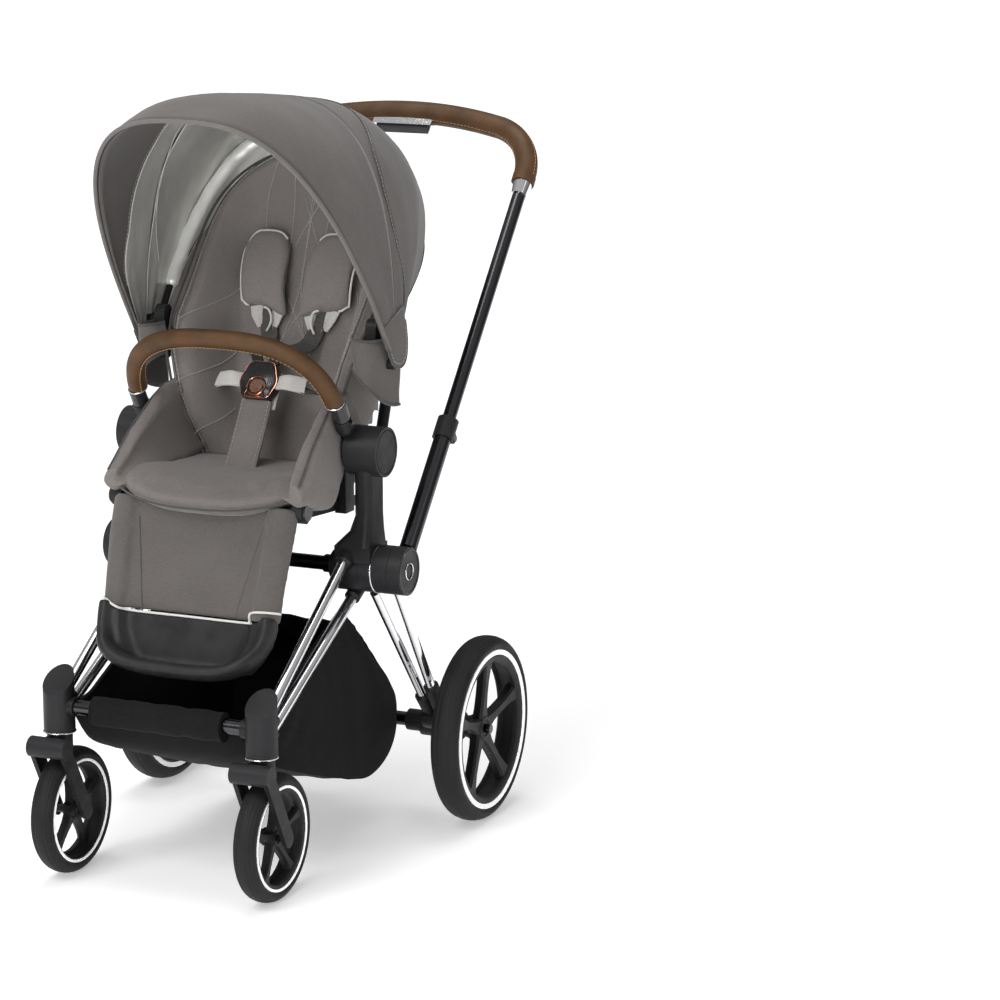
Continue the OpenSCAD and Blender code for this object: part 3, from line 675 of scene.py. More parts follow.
HANDLE_LEN, GRIP_X, CORNER_R = 0.8219, 0.2395, 0.095
corner_end = radians(75)
flat = GRIP_X - CORNER_R
arch_r = flat / cos(corner_end) + CORNER_R
corner_y = HANDLE_LEN - arch_r + (arch_r - CORNER_R) * sin(corner_end)
grip_y = HANDLE_LEN - 0.126
half_bar = [(GRIP_X, grip_y + 0.02 * i) for i in range(int((corner_y - grip_y) / 0.02) + 1)]
for degrees in range(5, 75, 5):
    a = radians(degrees)
    half_bar.append((flat + CORNER_R * cos(a), corner_y + CORNER_R * sin(a)))
for degrees in (75, 78, 81, 84, 87):
    a = radians(degrees)
    half_bar.append((arch_r * cos(a), HANDLE_LEN - arch_r + arch_r * sin(a)))
bar_points = half_bar + [(0, HANDLE_LEN)] + [(-x, y) for x, y in reversed(half_bar)]
bar_path = [on_handle(x, y) for x, y in bar_points]


def surface_line(path, plane_normal, radius, degrees, start=0.0, end=1.0):
    """A line along a bar's skin: degrees round from the bar plane's outer side towards its normal."""
    n = len(path)
    a = radians(degrees)
    out = []
    for i in range(n):
        if start <= i / (n - 1) <= end:
            outer = tangent(path, i).cross(V(plane_normal)).normalized()
            out.append(path[i] + outer * cos(a) * radius + V(plane_normal) * sin(a) * radius)
    return out


def leather_bar(name, path, normal, radius, body, replaced, seam_at, sides=28, oval=1.0):
    """A bar in sewn leather, with a seam and a row of stitches at each angle of seam_at."""
    fine = smooth_path(path, 3)
    Shape().tube(
        fine, lambda f: radius * (1 - 0.04 * (1 - ease(min(f, 1 - f) / 0.012))), sides, up=tuple(normal), flat=oval,
    ).piece(name + "_leather", body, [tan_leather], "leather_brown", replaced, angle=60)
    sewing = Shape()
    for degrees in seam_at:
        stitches(sewing, surface_line(fine, normal, radius + 0.0002, degrees, 0.01, 0.99))
        sewing.tube(surface_line(fine, normal, radius - 0.0003, degrees + 8, 0.005, 0.995), 0.0009, 6, slot=1)
    sewing.piece(name + "_stitching", body, [stitch_tan, tan_leather], "leather_brown", angle=60)
    return fine


bar_fine = leather_bar("handlebar", bar_path, tube_out, 0.0178, "handle_top", ["handlebar_grip"], (158, 22))
cuff = Shape()
whole = len(bar_fine) - 1
for a, b in ((0.0, 0.018), (0.982, 1.0)):
    cuff.tube(bar_fine[round(a * whole):round(b * whole) + 1], 0.0186, 28, up=tuple(tube_out))
cuff.piece("handlebar_cuffs", "handle_top", [tan_leather], "leather_brown", angle=50)

LEAN = radians(31)
loop_up = V((0, -sin(LEAN), cos(LEAN)))
loop_out = V((0, -cos(LEAN), -sin(LEAN)))
LOOP = V((0, -0.137, 0.670))


def superellipse(w, h, n, degrees):
    a = radians(degrees)
    return w * copysign(abs(cos(a)) ** (2 / n), cos(a)), h * abs(sin(a)) ** (2 / n)


arch_steps = [90 - 83 * cos(pi * i / 36) for i in range(37)]
loop_path = [LOOP + V((x, 0, 0)) + loop_up * y for x, y in (superellipse(0.167, 0.139, 2.7, a) for a in arch_steps)]
leather_bar("bumper_bar", loop_path, loop_out, 0.0145, "bumper_bar", ["bumper_bar_cover"], (205, 140), 24, 0.86)
chrome_ring("bumper_bar_rings", "bumper_bar", loop_path[0] - loop_up * 0.001, loop_up, 0.0138, 0.0022)


# ---- Canopy ----

PIVOT = V((0, -0.050, 0.740))
REACH = [(53, 0.462), (57, 0.455), (66, 0.440), (75, 0.418), (84, 0.400), (91, 0.393), (108, 0.392), (125, 0.392),
         (140, 0.398), (153, 0.388)]
HALF_W = [(53, 0.2165), (57, 0.2145), (91, 0.2140), (108, 0.2130), (122, 0.2105), (138, 0.190), (153, 0.166)]
POWER = [(53, 2.85), (92, 2.85), (114, 3.0), (134, 3.0), (153, 3.0)]
FACING_EDGE = [(0, 60), (11, 63.5), (19.5, 73), (34.5, 78.5), (46, 82), (59, 83.5), (90, 84)]
LINING_SEAM = [(6, 112), (10, 106), (14, 100), (18, 95.5), (23, 92.5), (30, 91), (45, 89.5), (60, 87), (90, 86)]
BAND_EDGE = [(0, 125), (5, 125.5), (17, 128), (28, 129), (44, 130.5), (68, 131.5), (90, 131.5)]
STYLE_LINE = [(0, 113), (7, 113), (12, 106), (18, 98), (24, 94.5), (32, 93), (45, 94.5), (60, 100), (75, 104),
              (90, 104)]


def canopy_point(phi, s, inset=0.0, sag=0.0):
    """phi: degrees above forward. s: degrees round the arch from the left side."""
    w = lerp_table(HALF_W, phi) - inset
    h = lerp_table(REACH, phi) - inset
    x, y = superellipse(w, h, lerp_table(POWER, phi), s)
    y -= sag * sin(radians(s))
    p = radians(phi)
    return PIVOT + V((x, -y * cos(p), y * sin(p)))


def over_arch(table, shift=0.0):
    """A line over the arch, the same on both sides: degrees above forward at s degrees round it."""
    return lambda s: lerp_table(table, min(s, 180 - s)) + shift


style_at, facing_edge, band_edge = over_arch(STYLE_LINE), over_arch(FACING_EDGE), over_arch(BAND_EDGE)


def arch_angles(n, first=1.2):
    """Steps round the arch, closer together at its feet."""
    return [90 - (90 - first) * cos(pi * i / n) for i in range(n + 1)]


def wander(a, b, seed):
    """A smooth, fixed unevenness between -1 and 1."""
    r = random.Random(seed)
    total = 0.0
    for _ in range(5):
        total += sin(a * r.uniform(2, 9) + b * r.uniform(2, 9) + r.uniform(0, 6.28)) / 5
    return total


def canopy_sheet(start, end, rows, inset, depth, wrinkle, seed, first=1.2):
    """A sheet between two lines round the arch. start and end are degrees, or a function of s."""
    out = []
    for i in range(rows + 1):
        t = i / rows
        row = []
        for s in arch_angles(72, first):
            a = start(s) if callable(start) else start
            b = end(s) if callable(end) else end
            phi = a + (b - a) * t
            low = 1 - sin(radians(s))
            uneven = wrinkle * wander(radians(phi) * 3, radians(s) * 2, seed) * (0.4 + low)
            deep = inset(t) if callable(inset) else inset
            row.append(canopy_point(phi, s, deep + uneven, depth * sin(pi * t)))
        out.append(row)
    return out


def line_length(points):
    return sum((b - a).length for a, b in zip(points, points[1:]))


def top_of(phi, reach):
    p = radians(phi)
    return PIVOT + V((0, -reach * cos(p), reach * sin(p)))


front_fold = ("canopy_middle", "canopy_front", top_of(91, 0.40), top_of(63, 0.44))
rear_fold = ("backrest", "canopy_middle", top_of(150, 0.39), top_of(126, 0.39))


def canopy_piece(name, rows, moves, material, replaces=(), thick=0.001):
    """One panel of the canopy. It moves with a body; when moves names two bodies, it is left unparented where it was
    built.
    """
    folds = not isinstance(moves, str)
    obj = Shape().grid(rows).piece(name, None if folds else moves, [material], "seat_fabric", replaces, thick=thick)
    if folds:
        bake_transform(obj)


def rim_fold_depth(t):
    """The facing stands off most just inside the rim, where it is turned over."""
    return 0.0032 + 0.0035 * exp(-((t - 0.04) / 0.04) ** 2)


def under_facing(s):
    """The front lining starts a little under the edge of the facing."""
    return lerp_table([(0, 58)] + [(a, b - 1) for a, b in FACING_EDGE[1:]], min(s, 180 - s))


OUTER = 0.0016
canopy_piece("canopy_front_sheet", canopy_sheet(55.5, 91, 18, 0.0, 0.0025, 0.0010, 3), front_fold, cloth,
             ["canopy_front_panel"], OUTER)
canopy_piece("canopy_middle_sheet", canopy_sheet(91, style_at, 10, 0.0, 0.0015, 0.0010, 3), "canopy_middle", cloth,
             ["canopy_middle_panel"], OUTER)
canopy_piece("canopy_rear_sheet", canopy_sheet(style_at, 153, 22, -0.0006, 0.003, 0.0016, 5), rear_fold, cloth,
             ["canopy_rear_panel"], OUTER)
canopy_piece("canopy_rim_facing", canopy_sheet(55.6, facing_edge, 22, rim_fold_depth, 0.0, 0.0008, 7), front_fold,
             facing_cloth)
canopy_piece("canopy_front_lining", canopy_sheet(under_facing, 91, 16, 0.0052, 0.002, 0.0022, 9), front_fold,
             lining)
canopy_piece("canopy_middle_lining", canopy_sheet(90.8, 120.6, 20, 0.0072, 0.004, 0.0040, 11, 3), "canopy_middle",
             lining)
canopy_piece("canopy_rear_lining",
             canopy_sheet(121.5, over_arch(BAND_EDGE, 1.5), 14, 0.0085, 0.002, 0.0060, 12, 2), rear_fold,
             lining_painted_light)
canopy_piece("canopy_rear_band", canopy_sheet(band_edge, 152, 16, 0.0070, 0.001, 0.0010, 13, 2), rear_fold,
             band_cloth_painted_light)


def canopy_line(line, inset, n, first=1.2):
    """A line over the arch. line is degrees above forward, or a function of the degrees round it."""
    return [canopy_point(line(s) if callable(line) else line, s, inset) for s in arch_angles(n, first)]


def canopy_seam(name, moves, radius, line, inset, first, stitch_line=None, stitch_inset=0.0):
    """A seam line, with a row of stitches beside it when stitch_line is given."""
    shape = Shape().tube(canopy_line(line, inset, 120, first), radius, 6)
    if stitch_line:
        stitches(shape, canopy_line(stitch_line, stitch_inset, 160, first), slot=1)
    sewn(shape, name, moves, [cloth_dark, stitch_pale] if stitch_line else [lining])


sewn(Shape().tube(canopy_line(55.3, 0.0004, 96), 0.0032, 12), "canopy_rim_binding", "canopy_front", [hem_cloth],
     replaces=["canopy_front_bow"])
canopy_seam("canopy_facing_seam", front_fold, 0.0009, over_arch(FACING_EDGE, -0.3), 0.0048, 8,
            over_arch(FACING_EDGE, -1.3), 0.0048)
canopy_seam("canopy_lining_seam", "canopy_middle", 0.0008, over_arch(LINING_SEAM), 0.0098, 12)
canopy_seam("canopy_band_seam", rear_fold, 0.0011, over_arch(BAND_EDGE, 0.2), 0.0080, 5,
            over_arch(BAND_EDGE, 1.4), 0.0078)

BOW_PHI, BOW_W, BOW_REACH = radians(121.4), 0.1965, 0.379


def bow_point(s, lift=0.0):
    x, y = superellipse(BOW_W + lift, BOW_REACH + lift, 2.85, s)
    return PIVOT + V((x, -y * cos(BOW_PHI), y * sin(BOW_PHI)))


sleeve = Shape()
sleeve.tube([bow_point(s, 0.0012 * wander(s * 0.11, 2, 51)) for s in arch_angles(170, 9)],
            lambda f: 0.0102 * (0.7 + 0.3 * ease(min(f, 1 - f) / 0.06)) + 0.0013 * wander(f * 20, 1, 53), 20)
sewn(sleeve, "canopy_bow_sleeve", "canopy_middle", [lining_painted_light])
sleeve_web = Shape().grid([
    [bow_point(s, 0.001), bow_point(s, 0.010), canopy_point(120.6, s, 0.0072)] for s in arch_angles(80, 9)])
sleeve_web.piece("canopy_sleeve_web", "canopy_middle", [lining_painted_light], "seat_fabric", thick=0.001)
canopy_seam("canopy_style_seam", "canopy_middle", 0.0009, style_at, -0.0014, 7, over_arch(STYLE_LINE, 0.9), -0.0012)

# A curved window of black mesh in the rear band, with a bound edge.
VENT_LOW, VENT_HIGH = 135, 148
vent_rows = []
for i in range(11):
    phi = VENT_LOW + (VENT_HIGH - VENT_LOW) * i / 10
    belly = 0.0012 * sin(pi * (phi - VENT_LOW) / (VENT_HIGH - VENT_LOW))
    vent_rows.append([canopy_point(phi, s, 0.0105 + belly) for s in range(56, 125, 2)])
vent = Shape().grid(vent_rows).piece("canopy_vent_mesh", None, [black_mesh], "seat_fabric", thick=0.0008)
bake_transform(vent)
vent_outline = (vent_rows[0] + [r[-1] for r in vent_rows[1:]] + vent_rows[-1][::-1][1:]
                + [r[0] for r in vent_rows[-2:0:-1]])
sewn(Shape().tube(vent_outline, 0.0017, 6, closed=True), "canopy_vent_binding", rear_fold, [binding_black])
sewn(Shape().tube(canopy_line(153, -0.0002, 90), 0.0026, 8), "canopy_rear_hem", "backrest", [binding_black])

# The rounded lower corner of the canopy, which hides each pivot.
corner = smooth_path([(0, y, z) for y, z in (
    (-0.094, 0.800), (-0.0615, 0.7465), (-0.050, 0.7375), (-0.031, 0.7335), (-0.016, 0.741), (-0.0095, 0.760),
    (-0.0115, 0.787), (-0.022, 0.826))], 5)
middle = V((0, -0.045, 0.800))


def in_corner(points, x, size):
    """The corner's outline at x, drawn in towards its middle."""
    return [V((x, middle.y + (p.y - middle.y) * size, middle.z + (p.z - middle.z) * size)) for p in points]


flap = Shape().skin([
    in_corner(corner, x, size)
    for x, size in ((0.2128, 0.985), (0.2136, 1.0), (0.2154, 1.0), (0.2162, 0.985), (0.2166, 0.8))])
flap.tube(in_corner(corner[3:-3], 0.2160, 1.0), 0.0011, 6, 1)
stitches(flap, in_corner(corner[4:-4], 0.2168, 0.90), slot=2)
sewn(flap.both(), "canopy_lower_corners", "canopy_middle", [cloth, cloth_dark, stitch_pale], weld=1e-6)


# ---- Padding by cloth simulation ----

def even_mesh(obj, voxel):
    remesh = obj.modifiers.new("remesh", "REMESH")
    remesh.mode = "VOXEL"
    remesh.voxel_size = voxel
    apply_modifiers(obj)


def puff(obj, voxel, pressure, cap, frames=20):
    """Swells a closed form like stuffed fabric: remesh, inflate, limit how far each point moves."""
    even_mesh(obj, voxel)
    before = [v.co.copy() for v in obj.data.vertices]
    fabric = obj.modifiers.new("cloth", "CLOTH")
    fabric.settings.use_pressure = True
    fabric.settings.uniform_pressure_force = pressure
    fabric.settings.quality = 5
    fabric.settings.tension_stiffness = 15
    fabric.settings.compression_stiffness = 15
    fabric.settings.bending_stiffness = 0.6
    fabric.settings.effector_weights.gravity = 0
    fabric.point_cache.frame_end = frames
    for frame_number in range(1, frames + 1):
        scene.frame_set(frame_number)
    apply_modifiers(obj)
    scene.frame_set(1)
    for vertex, rest in zip(obj.data.vertices, before):
        move = vertex.co - rest
        if move.length > cap:
            vertex.co = rest + move.normalized() * cap
    obj.data.polygons.foreach_set("use_smooth", [True] * len(obj.data.polygons))
    smooth = obj.modifiers.new("smooth", "SUBSURF")
    smooth.levels = smooth.render_levels = 1
    apply_modifiers(obj)


def cushioned(rows_or_shape, name, body, material, slot, node, voxel, pressure, cap):
    """A padded piece that stands for a CAD node. Gives its finished surface, for seams to lie on."""
    shape = rows_or_shape if isinstance(rows_or_shape, Shape) else Shape().skin(rows_or_shape)
    obj = shape.piece(name, None, [material], slot, [node], weld=1e-5)
    puff(obj, voxel, pressure, cap)
    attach(obj, body)
    return BVHTree.FromPolygons([v.co for v in obj.data.vertices], [p.vertices for p in obj.data.polygons])


def laid_on(skin, path, lift):
    """The path with every point that the padding covers brought out to lift above its surface."""
    out = []
    for p in path:
        where, normal = skin.find_nearest(p)[:2]
        out.append(where + normal * lift if (p - where).dot(normal) < lift else p)
    return out


# ---- Backrest ----

RECLINE = V((0, -0.020, 0.560))
BACK_LEAN = radians(20)
back_up = V((0, sin(BACK_LEAN), cos(BACK_LEAN)))
back_out = V((0, -cos(BACK_LEAN), sin(BACK_LEAN)))


def on_back(x, a, f=0.0):
    return RECLINE + V((x, 0, 0)) + back_up * a + back_out * f


SHOULDER, BACK_TOP, BACK_W = 0.334, 0.505, 0.171
BACK_SIDE = [(0.0, 0.126), (0.03, 0.132), (0.09, 0.146), (0.15, 0.162), (0.21, 0.170), (SHOULDER, BACK_W)]
BOLSTER = [(-0.02, 0.0), (0.0, 0.012), (0.025, 0.042), (0.06, 0.086), (0.093, 0.108), (0.148, 0.118), (0.21, 0.106),
           (0.28, 0.076), (0.38, 0.040), (0.46, 0.014), (BACK_TOP, 0.0)]


def back_half_width(a):
    if a < SHOULDER:
        return lerp_table(BACK_SIDE, a)
    t = min(1.0, (a - SHOULDER) / 0.171)
    return BACK_W * max(0.0, 1 - t ** 2.4) ** (1 / 2.4)


def back_face(x, a):
    """How far forward the padded surface stands."""
    w = back_half_width(a)
    edge = ease((abs(x) - w + 0.078) / 0.064)
    rise = lerp_table(BOLSTER, a) * edge
    quilt = 0.0035 * cos(pi * min(1.0, abs(x) / 0.105) * 0.5)
    return 0.004 + quilt + rise + 0.0015 * wander(x * 14, a * 8, 21)


def rounded(u, power):
    """How far a padded form has opened at u across it, from -1 to 1."""
    return sqrt(max(0.0, 1 - abs(u) ** power))


def steps_across(n):
    """Steps from -1 to 1, closer together at both ends."""
    return [-cos(pi * k / n) for k in range(n + 1)]


pad_rows = []
for i in range(49):
    a = -0.008 + 0.511 * (1 - (1 - i / 48) ** 1.1)
    w = max(0.006, back_half_width(a))
    inner = 0.93 * w
    row = []
    for u in steps_across(32):
        row.append(on_back(w * u, a, -0.016 + (back_face(w * u, a) + 0.016) * rounded(u, 24)))
    for u in steps_across(32)[31:0:-1]:
        rise = lerp_table(BOLSTER, a) * ease((inner * (abs(u) - 1) + 0.040) / 0.036)
        row.append(on_back(inner * u, a, -0.016 + (rise * 0.85 - 0.012) * rounded(u, 24)))
    pad_rows.append(row)
back_skin = cushioned(pad_rows, "backrest_padding", "backrest", backrest_cloth_painted_light, "seat_fabric", "backrest_pad",
                      0.0055, 2.5, 0.005)

quilting = Shape()
quilt_lines = [
    [(-0.070, 0.475), (-0.080, 0.425), (-0.075, 0.370)],
    [(-0.040, 0.470), (-0.034, 0.430), (-0.030, 0.390), (-0.028, 0.300), (-0.030, 0.230)],
    [(-0.008, 0.478), (-0.002, 0.420), (0.000, 0.340), (0.004, 0.260), (0.030, 0.160)],
    [(0.015, 0.420), (-0.002, 0.385), (-0.020, 0.345)],
    [(-0.150, 0.200), (-0.125, 0.240), (-0.100, 0.280)],
    [(-0.140, 0.095), (-0.115, 0.130), (-0.095, 0.175)],
    [(-0.125, 0.030), (-0.095, 0.055), (-0.080, 0.085)],
    [(-0.040, 0.160), (-0.010, 0.215), (0.018, 0.262)],
]
for line in quilt_lines:
    line = smooth_path([(x, a, 0) for x, a in line], 10)
    path = laid_on(back_skin, [on_back(p.x, p.y, back_face(p.x, p.y) + 0.0012) for p in line], 0.0009)
    quilting.tube(path, 0.0005, 5)
    stitches(quilting, path, 0.0045, 0.0016, 0.0008)
sewn(quilting.both(), "backrest_quilting", "backrest", [stitch_pale])



def back_edge(inward, measured_at, lift, clear):
    """A line round the backrest, inward from its side. Its height is taken at measured_at from the side."""
    line = []
    for a in [0.012 + 0.478 * i / 60 for i in range(61)]:
        w = back_half_width(a)
        line.append(on_back(w - inward, a, back_face(w - measured_at, a) + lift))
    return laid_on(back_skin, line, clear)


edge_trim = Shape().tube(back_edge(0.0035, 0.0, -0.007, 0.0004), 0.0022, 8)
inner_edge = back_edge(0.017, 0.017, 0.0008, 0.0008)
edge_trim.tube(inner_edge, 0.0011, 6)
stitches(edge_trim, [p - V((0.0035, 0, 0)) for p in inner_edge], slot=1)
sewn(edge_trim.both(), "backrest_edge_binding", "backrest", [cloth_dark, stitch_pale])

# Soft tabs that wrap round the lower end of the canopy's hinges.
tab_plan = smooth_path([(0.158, -0.080, 0), (0.166, -0.098, 0), (0.180, -0.104, 0), (0.194, -0.097, 0),
                        (0.2005, -0.078, 0), (0.2020, -0.045, 0), (0.2015, -0.010, 0)], 5)
last = len(tab_plan) - 1


def tab_point(k, t):
    """Point k of the plan, t up the tab. Its lower edge falls towards the back."""
    p, f = tab_plan[k], k / last
    low, high = 0.738 - 0.066 * ease(f), 0.785 - 0.008 * f
    return V((p.x + 0.0018 * sin(7 * t + 4 * f), p.y + 0.006 * (1 - t), low + (high - low) * t))


tabs = Shape().grid([[tab_point(k, i / 12) for k in range(last + 1)] for i in range(13)])
for edge in (0.0, 1.0):
    tabs.tube([tab_point(k, edge) for k in range(last + 1)], 0.0020, 8, 1)
tab_obj = tabs.both().piece("backrest_hinge_tabs", "backrest", [cloth, cloth_dark], "seat_fabric")
thicken(tab_obj, 0.003, -1)


# ---- Seat cushion and side wings ----

cushion_rows = []
for i in range(41):
    u = -cos(pi * i / 40)
    x = 0.1535 * u
    front = -0.290 + 0.042 * abs(u) ** 2.6
    behind = -0.020 - 0.004 * abs(u) ** 4
    squeeze = max(0.06, (1 - abs(u) ** 9) ** 0.5)
    mid = (front + behind) / 2
    reach = (behind - front) / 2 * (0.85 + 0.15 * squeeze)
    row = []
    for k in range(44):
        ang = 2 * pi * k / 44
        c, s = cos(ang), sin(ang)
        y = mid + reach * copysign(abs(c) ** (2 / 3.4), c)
        nose = ease((-0.205 - y) / 0.07)
        top = 0.0195 + 0.003 * nose - 0.0045 * ease((y + 0.20) / 0.12)
        rise = 0.016 * abs(u) ** 2.6 * ease((-0.13 - y) / 0.10)
        z = 0.5635 + rise + (top if s > 0 else 0.0205) * copysign(abs(s) ** (2 / 2.6), s) * squeeze - 0.006 * nose
        row.append(V((x, y, z)))
    cushion_rows.append(row)
cushion_skin = cushioned(cushion_rows, "seat_cushion_padding", "seat", cloth_lit, "seat_fabric", "seat_cushion",
                         0.005, 3.0, 0.005)

welt = []
for t in range(-84, 85, 4):
    u = sin(radians(t))
    welt.append(V((0.1515 * u, -0.2905 + 0.042 * abs(u) ** 2.6, 0.5500 + 0.018 * abs(u) ** 2.6)))
cushion_seam = Shape().tube(laid_on(cushion_skin, welt, 0.0004), 0.0017, 8)
sewn(cushion_seam, "seat_cushion_seam", "seat", [cloth_dark])

WING = [  # y, ridge x, ridge z, outer x, outer z, inner x, inner z
    (-0.262, 0.150, 0.585, 0.153, 0.566, 0.138, 0.568),
    (-0.240, 0.148, 0.604, 0.156, 0.556, 0.130, 0.574),
    (-0.205, 0.145, 0.636, 0.158, 0.547, 0.124, 0.578),
    (-0.170, 0.142, 0.660, 0.158, 0.542, 0.122, 0.580),
    (-0.140, 0.139, 0.680, 0.150, 0.545, 0.121, 0.580),
    (-0.110, 0.137, 0.692, 0.141, 0.556, 0.120, 0.580),
    (-0.070, 0.136, 0.696, 0.139, 0.572, 0.120, 0.582),
    (-0.036, 0.137, 0.664, 0.140, 0.590, 0.121, 0.590),
    (-0.012, 0.139, 0.630, 0.141, 0.590, 0.124, 0.590),
]


def wing_row(y):
    def at(k):
        return lerp_table([(row[0], row[k]) for row in WING], y)
    rx, rz, ox, oz, ix, iz = (at(k) for k in range(1, 7))
    half = 0.0105
    row = []
    for t in [j / 8 for j in range(9)]:
        row.append(V((ix + (rx - ix) * t - half * (1 - 0.2 * t) + 0.013 * sin(pi * t), y, iz + (rz - iz) * t)))
    for x, z in ((-0.005, 0.0055), (0, 0.007), (0.005, 0.0055), (half, 0)):
        row.append(V((rx + x, y, rz + z)))
    for t in [j / 8 for j in range(1, 9)]:
        row.append(V((rx + (ox - rx) * t + half + 0.004 * sin(pi * t), y, rz + (oz - rz) * t)))
    return row + [V((ox - 0.002, y, oz - 0.005)), V(((ox + ix) / 2, y, min(oz, iz) - 0.001))]


wing = Shape().skin([wing_row(-0.262 + 0.248 * i / 32) for i in range(33)])
wing_skin = cushioned(wing.both(), "seat_wing_padding", "seat", cloth_lit, "seat_fabric", "seat_side_panels",
                      0.005, 2.0, 0.004)
WING_RIDGE = 12
ridge = [wing_row(-0.258 + 0.21 * i / 30)[WING_RIDGE] + V((-0.001, 0, 0.001)) for i in range(31)]
wing_seam = Shape().tube(laid_on(wing_skin, ridge, 0.0003), 0.0014, 8)
sewn(wing_seam.both(), "seat_wing_seams", "seat", [cloth_dark])


# ---- Crotch strap, buckle and harness ----

strap_path = smooth_path([
    (0, -0.142, 0.575), (0, -0.138, 0.588), (0, -0.118, 0.618), (0, -0.098, 0.650), (0, -0.084, 0.676)], 6)
crotch = Shape().band(strap_path, (0, -0.86, 0.5), lambda f: 0.053 - 0.002 * f, 0.007, crown=0.0012)
crotch_piece = crotch.piece("crotch_strap_cover", "seat", [cloth_lit], "strap_webbing", ["crotch_strap"], angle=50)
crotch_edges = Shape()
for x in (-0.0222, 0.0222):
    stitches(crotch_edges, [p + V((x, -0.0036, 0.0022)) for p in strap_path], radius=0.0004)
sewn(crotch_edges, "crotch_strap_stitching", "seat", [stitch_pale], "strap_webbing")

BUCKLE = V((0, -0.070, 0.703))
BUCKLE_LEAN = radians(32)
buckle_up = V((0, sin(BUCKLE_LEAN), cos(BUCKLE_LEAN)))
buckle_out = V((0, -cos(BUCKLE_LEAN), sin(BUCKLE_LEAN)))


def on_buckle(x, y, z):
    return BUCKLE + V((x, 0, 0)) + buckle_up * y + buckle_out * z


def buckle_level(scale, z, corner=0.008, steps=4):
    """One level of the buckle's six-cornered shell, with its corners rounded."""
    corners = [(-0.0225, -0.031), (0.0225, -0.031), (0.0335, -0.003), (0.0205, 0.030), (-0.0205, 0.030),
               (-0.0335, -0.003)]
    out = []
    n = len(corners)
    for i, p in enumerate(corners):
        p, a, b = V((*p, 0)), V((*corners[i - 1], 0)), V((*corners[(i + 1) % n], 0))
        start, end = p + (a - p).normalized() * corner, p + (b - p).normalized() * corner
        for k in range(steps + 1):
            t = k / steps
            q = start * (1 - t) ** 2 + p * 2 * t * (1 - t) + end * t * t
            out.append(on_buckle(q.x * scale, q.y * scale, z))
    return out


buckle = Shape().skin([buckle_level(*level) for level in (
    (0.94, -0.010), (1.0, -0.007), (1.0, 0.006), (0.95, 0.0095), (0.90, 0.0105))])
for i in range(-9, 10):
    x = i * 0.0029
    top = 0.0255 if abs(x) < 0.016 else 0.0255 - (abs(x) - 0.016) * 1.9
    low = 0.003 if abs(x) < 0.015 else -0.010 + (abs(x) - 0.015) * 0.6
    buckle.tube([on_buckle(x, low, 0.0104), on_buckle(x, top, 0.0104)], 0.0009, 6, 0)
buckle.tube(buckle_level(0.965, 0.0088), 0.0007, 6, 2, closed=True)
button_ring = [(0, 0.0165), (0.0015, 0.0162), (0.0022, 0.0145), (0.0012, 0.0122), (-0.002, 0.0118)]
buckle.lathe(button_ring, on_buckle(0, -0.012, 0.010), buckle_out, 48, 1)
hoop(buckle, on_buckle(0, -0.012, 0.0120), buckle_out, 0.0146, 0.0030, 48, 2)
lower_bar = ((-0.0135, -0.020, 0.0112), (-0.0180, -0.0295, 0.0105), (0.0180, -0.0295, 0.0105), (0.0135, -0.020, 0.0112))
buckle.tube([on_buckle(*p) for p in lower_bar], 0.0013, 8, 2)
buckle.piece("buckle_shell", "seat", [gloss_black, black_plastic, copper], "button_black", ["buckle"], angle=35)
tongue = Shape()
for s in (-1, 1):
    run = [on_buckle(s * 0.006, 0.022, 0), on_buckle(s * 0.015, 0.034, -0.001), on_buckle(s * 0.021, 0.046, -0.002)]
    tongue.band(run, tuple(buckle_out), 0.017, 0.006)
tongue.piece("buckle_tongues", "seat", [black_plastic], "button_black", angle=40)


def shoulder_pad(side):
    """A soft pad over a shoulder strap. Its lower edge steps down towards the middle of the seat."""
    loops = []
    for i in range(25):
        t = i / 24
        loop = []
        for k in range(32):
            ang = 2 * pi * k / 32
            u = copysign(abs(cos(ang)) ** 0.5, cos(ang))
            low = 0.246 - 0.006 * (1 - u) / 2 - 0.010 * ease((-0.1 - u) / 0.7) + 0.007 * ease((u - 0.7) / 0.3)
            high = 0.364 - 0.022 * abs(u) ** 3.5
            a = low + (high - low) * t
            x = 0.051 + 0.008 * (a - 0.24) / 0.12 + 0.0405 * u * (1 - 0.10 * ease((t - 0.85) / 0.15))
            half = 0.0095 * (0.35 + 0.65 * rounded(2 * t - 1, 8))
            loop.append(on_back(side * x, a, 0.024 + 0.010 * sin(pi * t) + half * sin(ang)))
        loops.append(loop)
    return loops


pads, pad_trim, pad_pipes = Shape(), Shape(), []
PAD_TAIL = ((0.047, 0.2425, 0.0335), (0.0385, 0.239, 0.0335), (0.0345, 0.229, 0.030), (0.0355, 0.218, 0.0275),
            (0.041, 0.207, 0.0255))
for side in (-1, 1):
    loops = shoulder_pad(side)
    pads.skin(loops)
    pipe = loops[-1][12:0:-1] + [loop[0] for loop in reversed(loops)] + loops[0][1:7]
    pad_pipes.append(even_path(smooth_path(pipe, 3), 0.003))
    pad_trim.tube(smooth_path([on_back(side * x, a, f) for x, a, f in PAD_TAIL], 5), 0.0018, 8)
pad_skin = cushioned(pads, "shoulder_pad_covers", "backrest", backrest_cloth_painted_light, "strap_webbing", "shoulder_pads",
                     0.004, 3.0, 0.0035)
for pipe in pad_pipes:
    pad_trim.tube(laid_on(pad_skin, pipe, 0.0008), 0.0018, 8)
sewn(pad_trim, "shoulder_pad_piping", "backrest", [piping_pale], "strap_webbing")

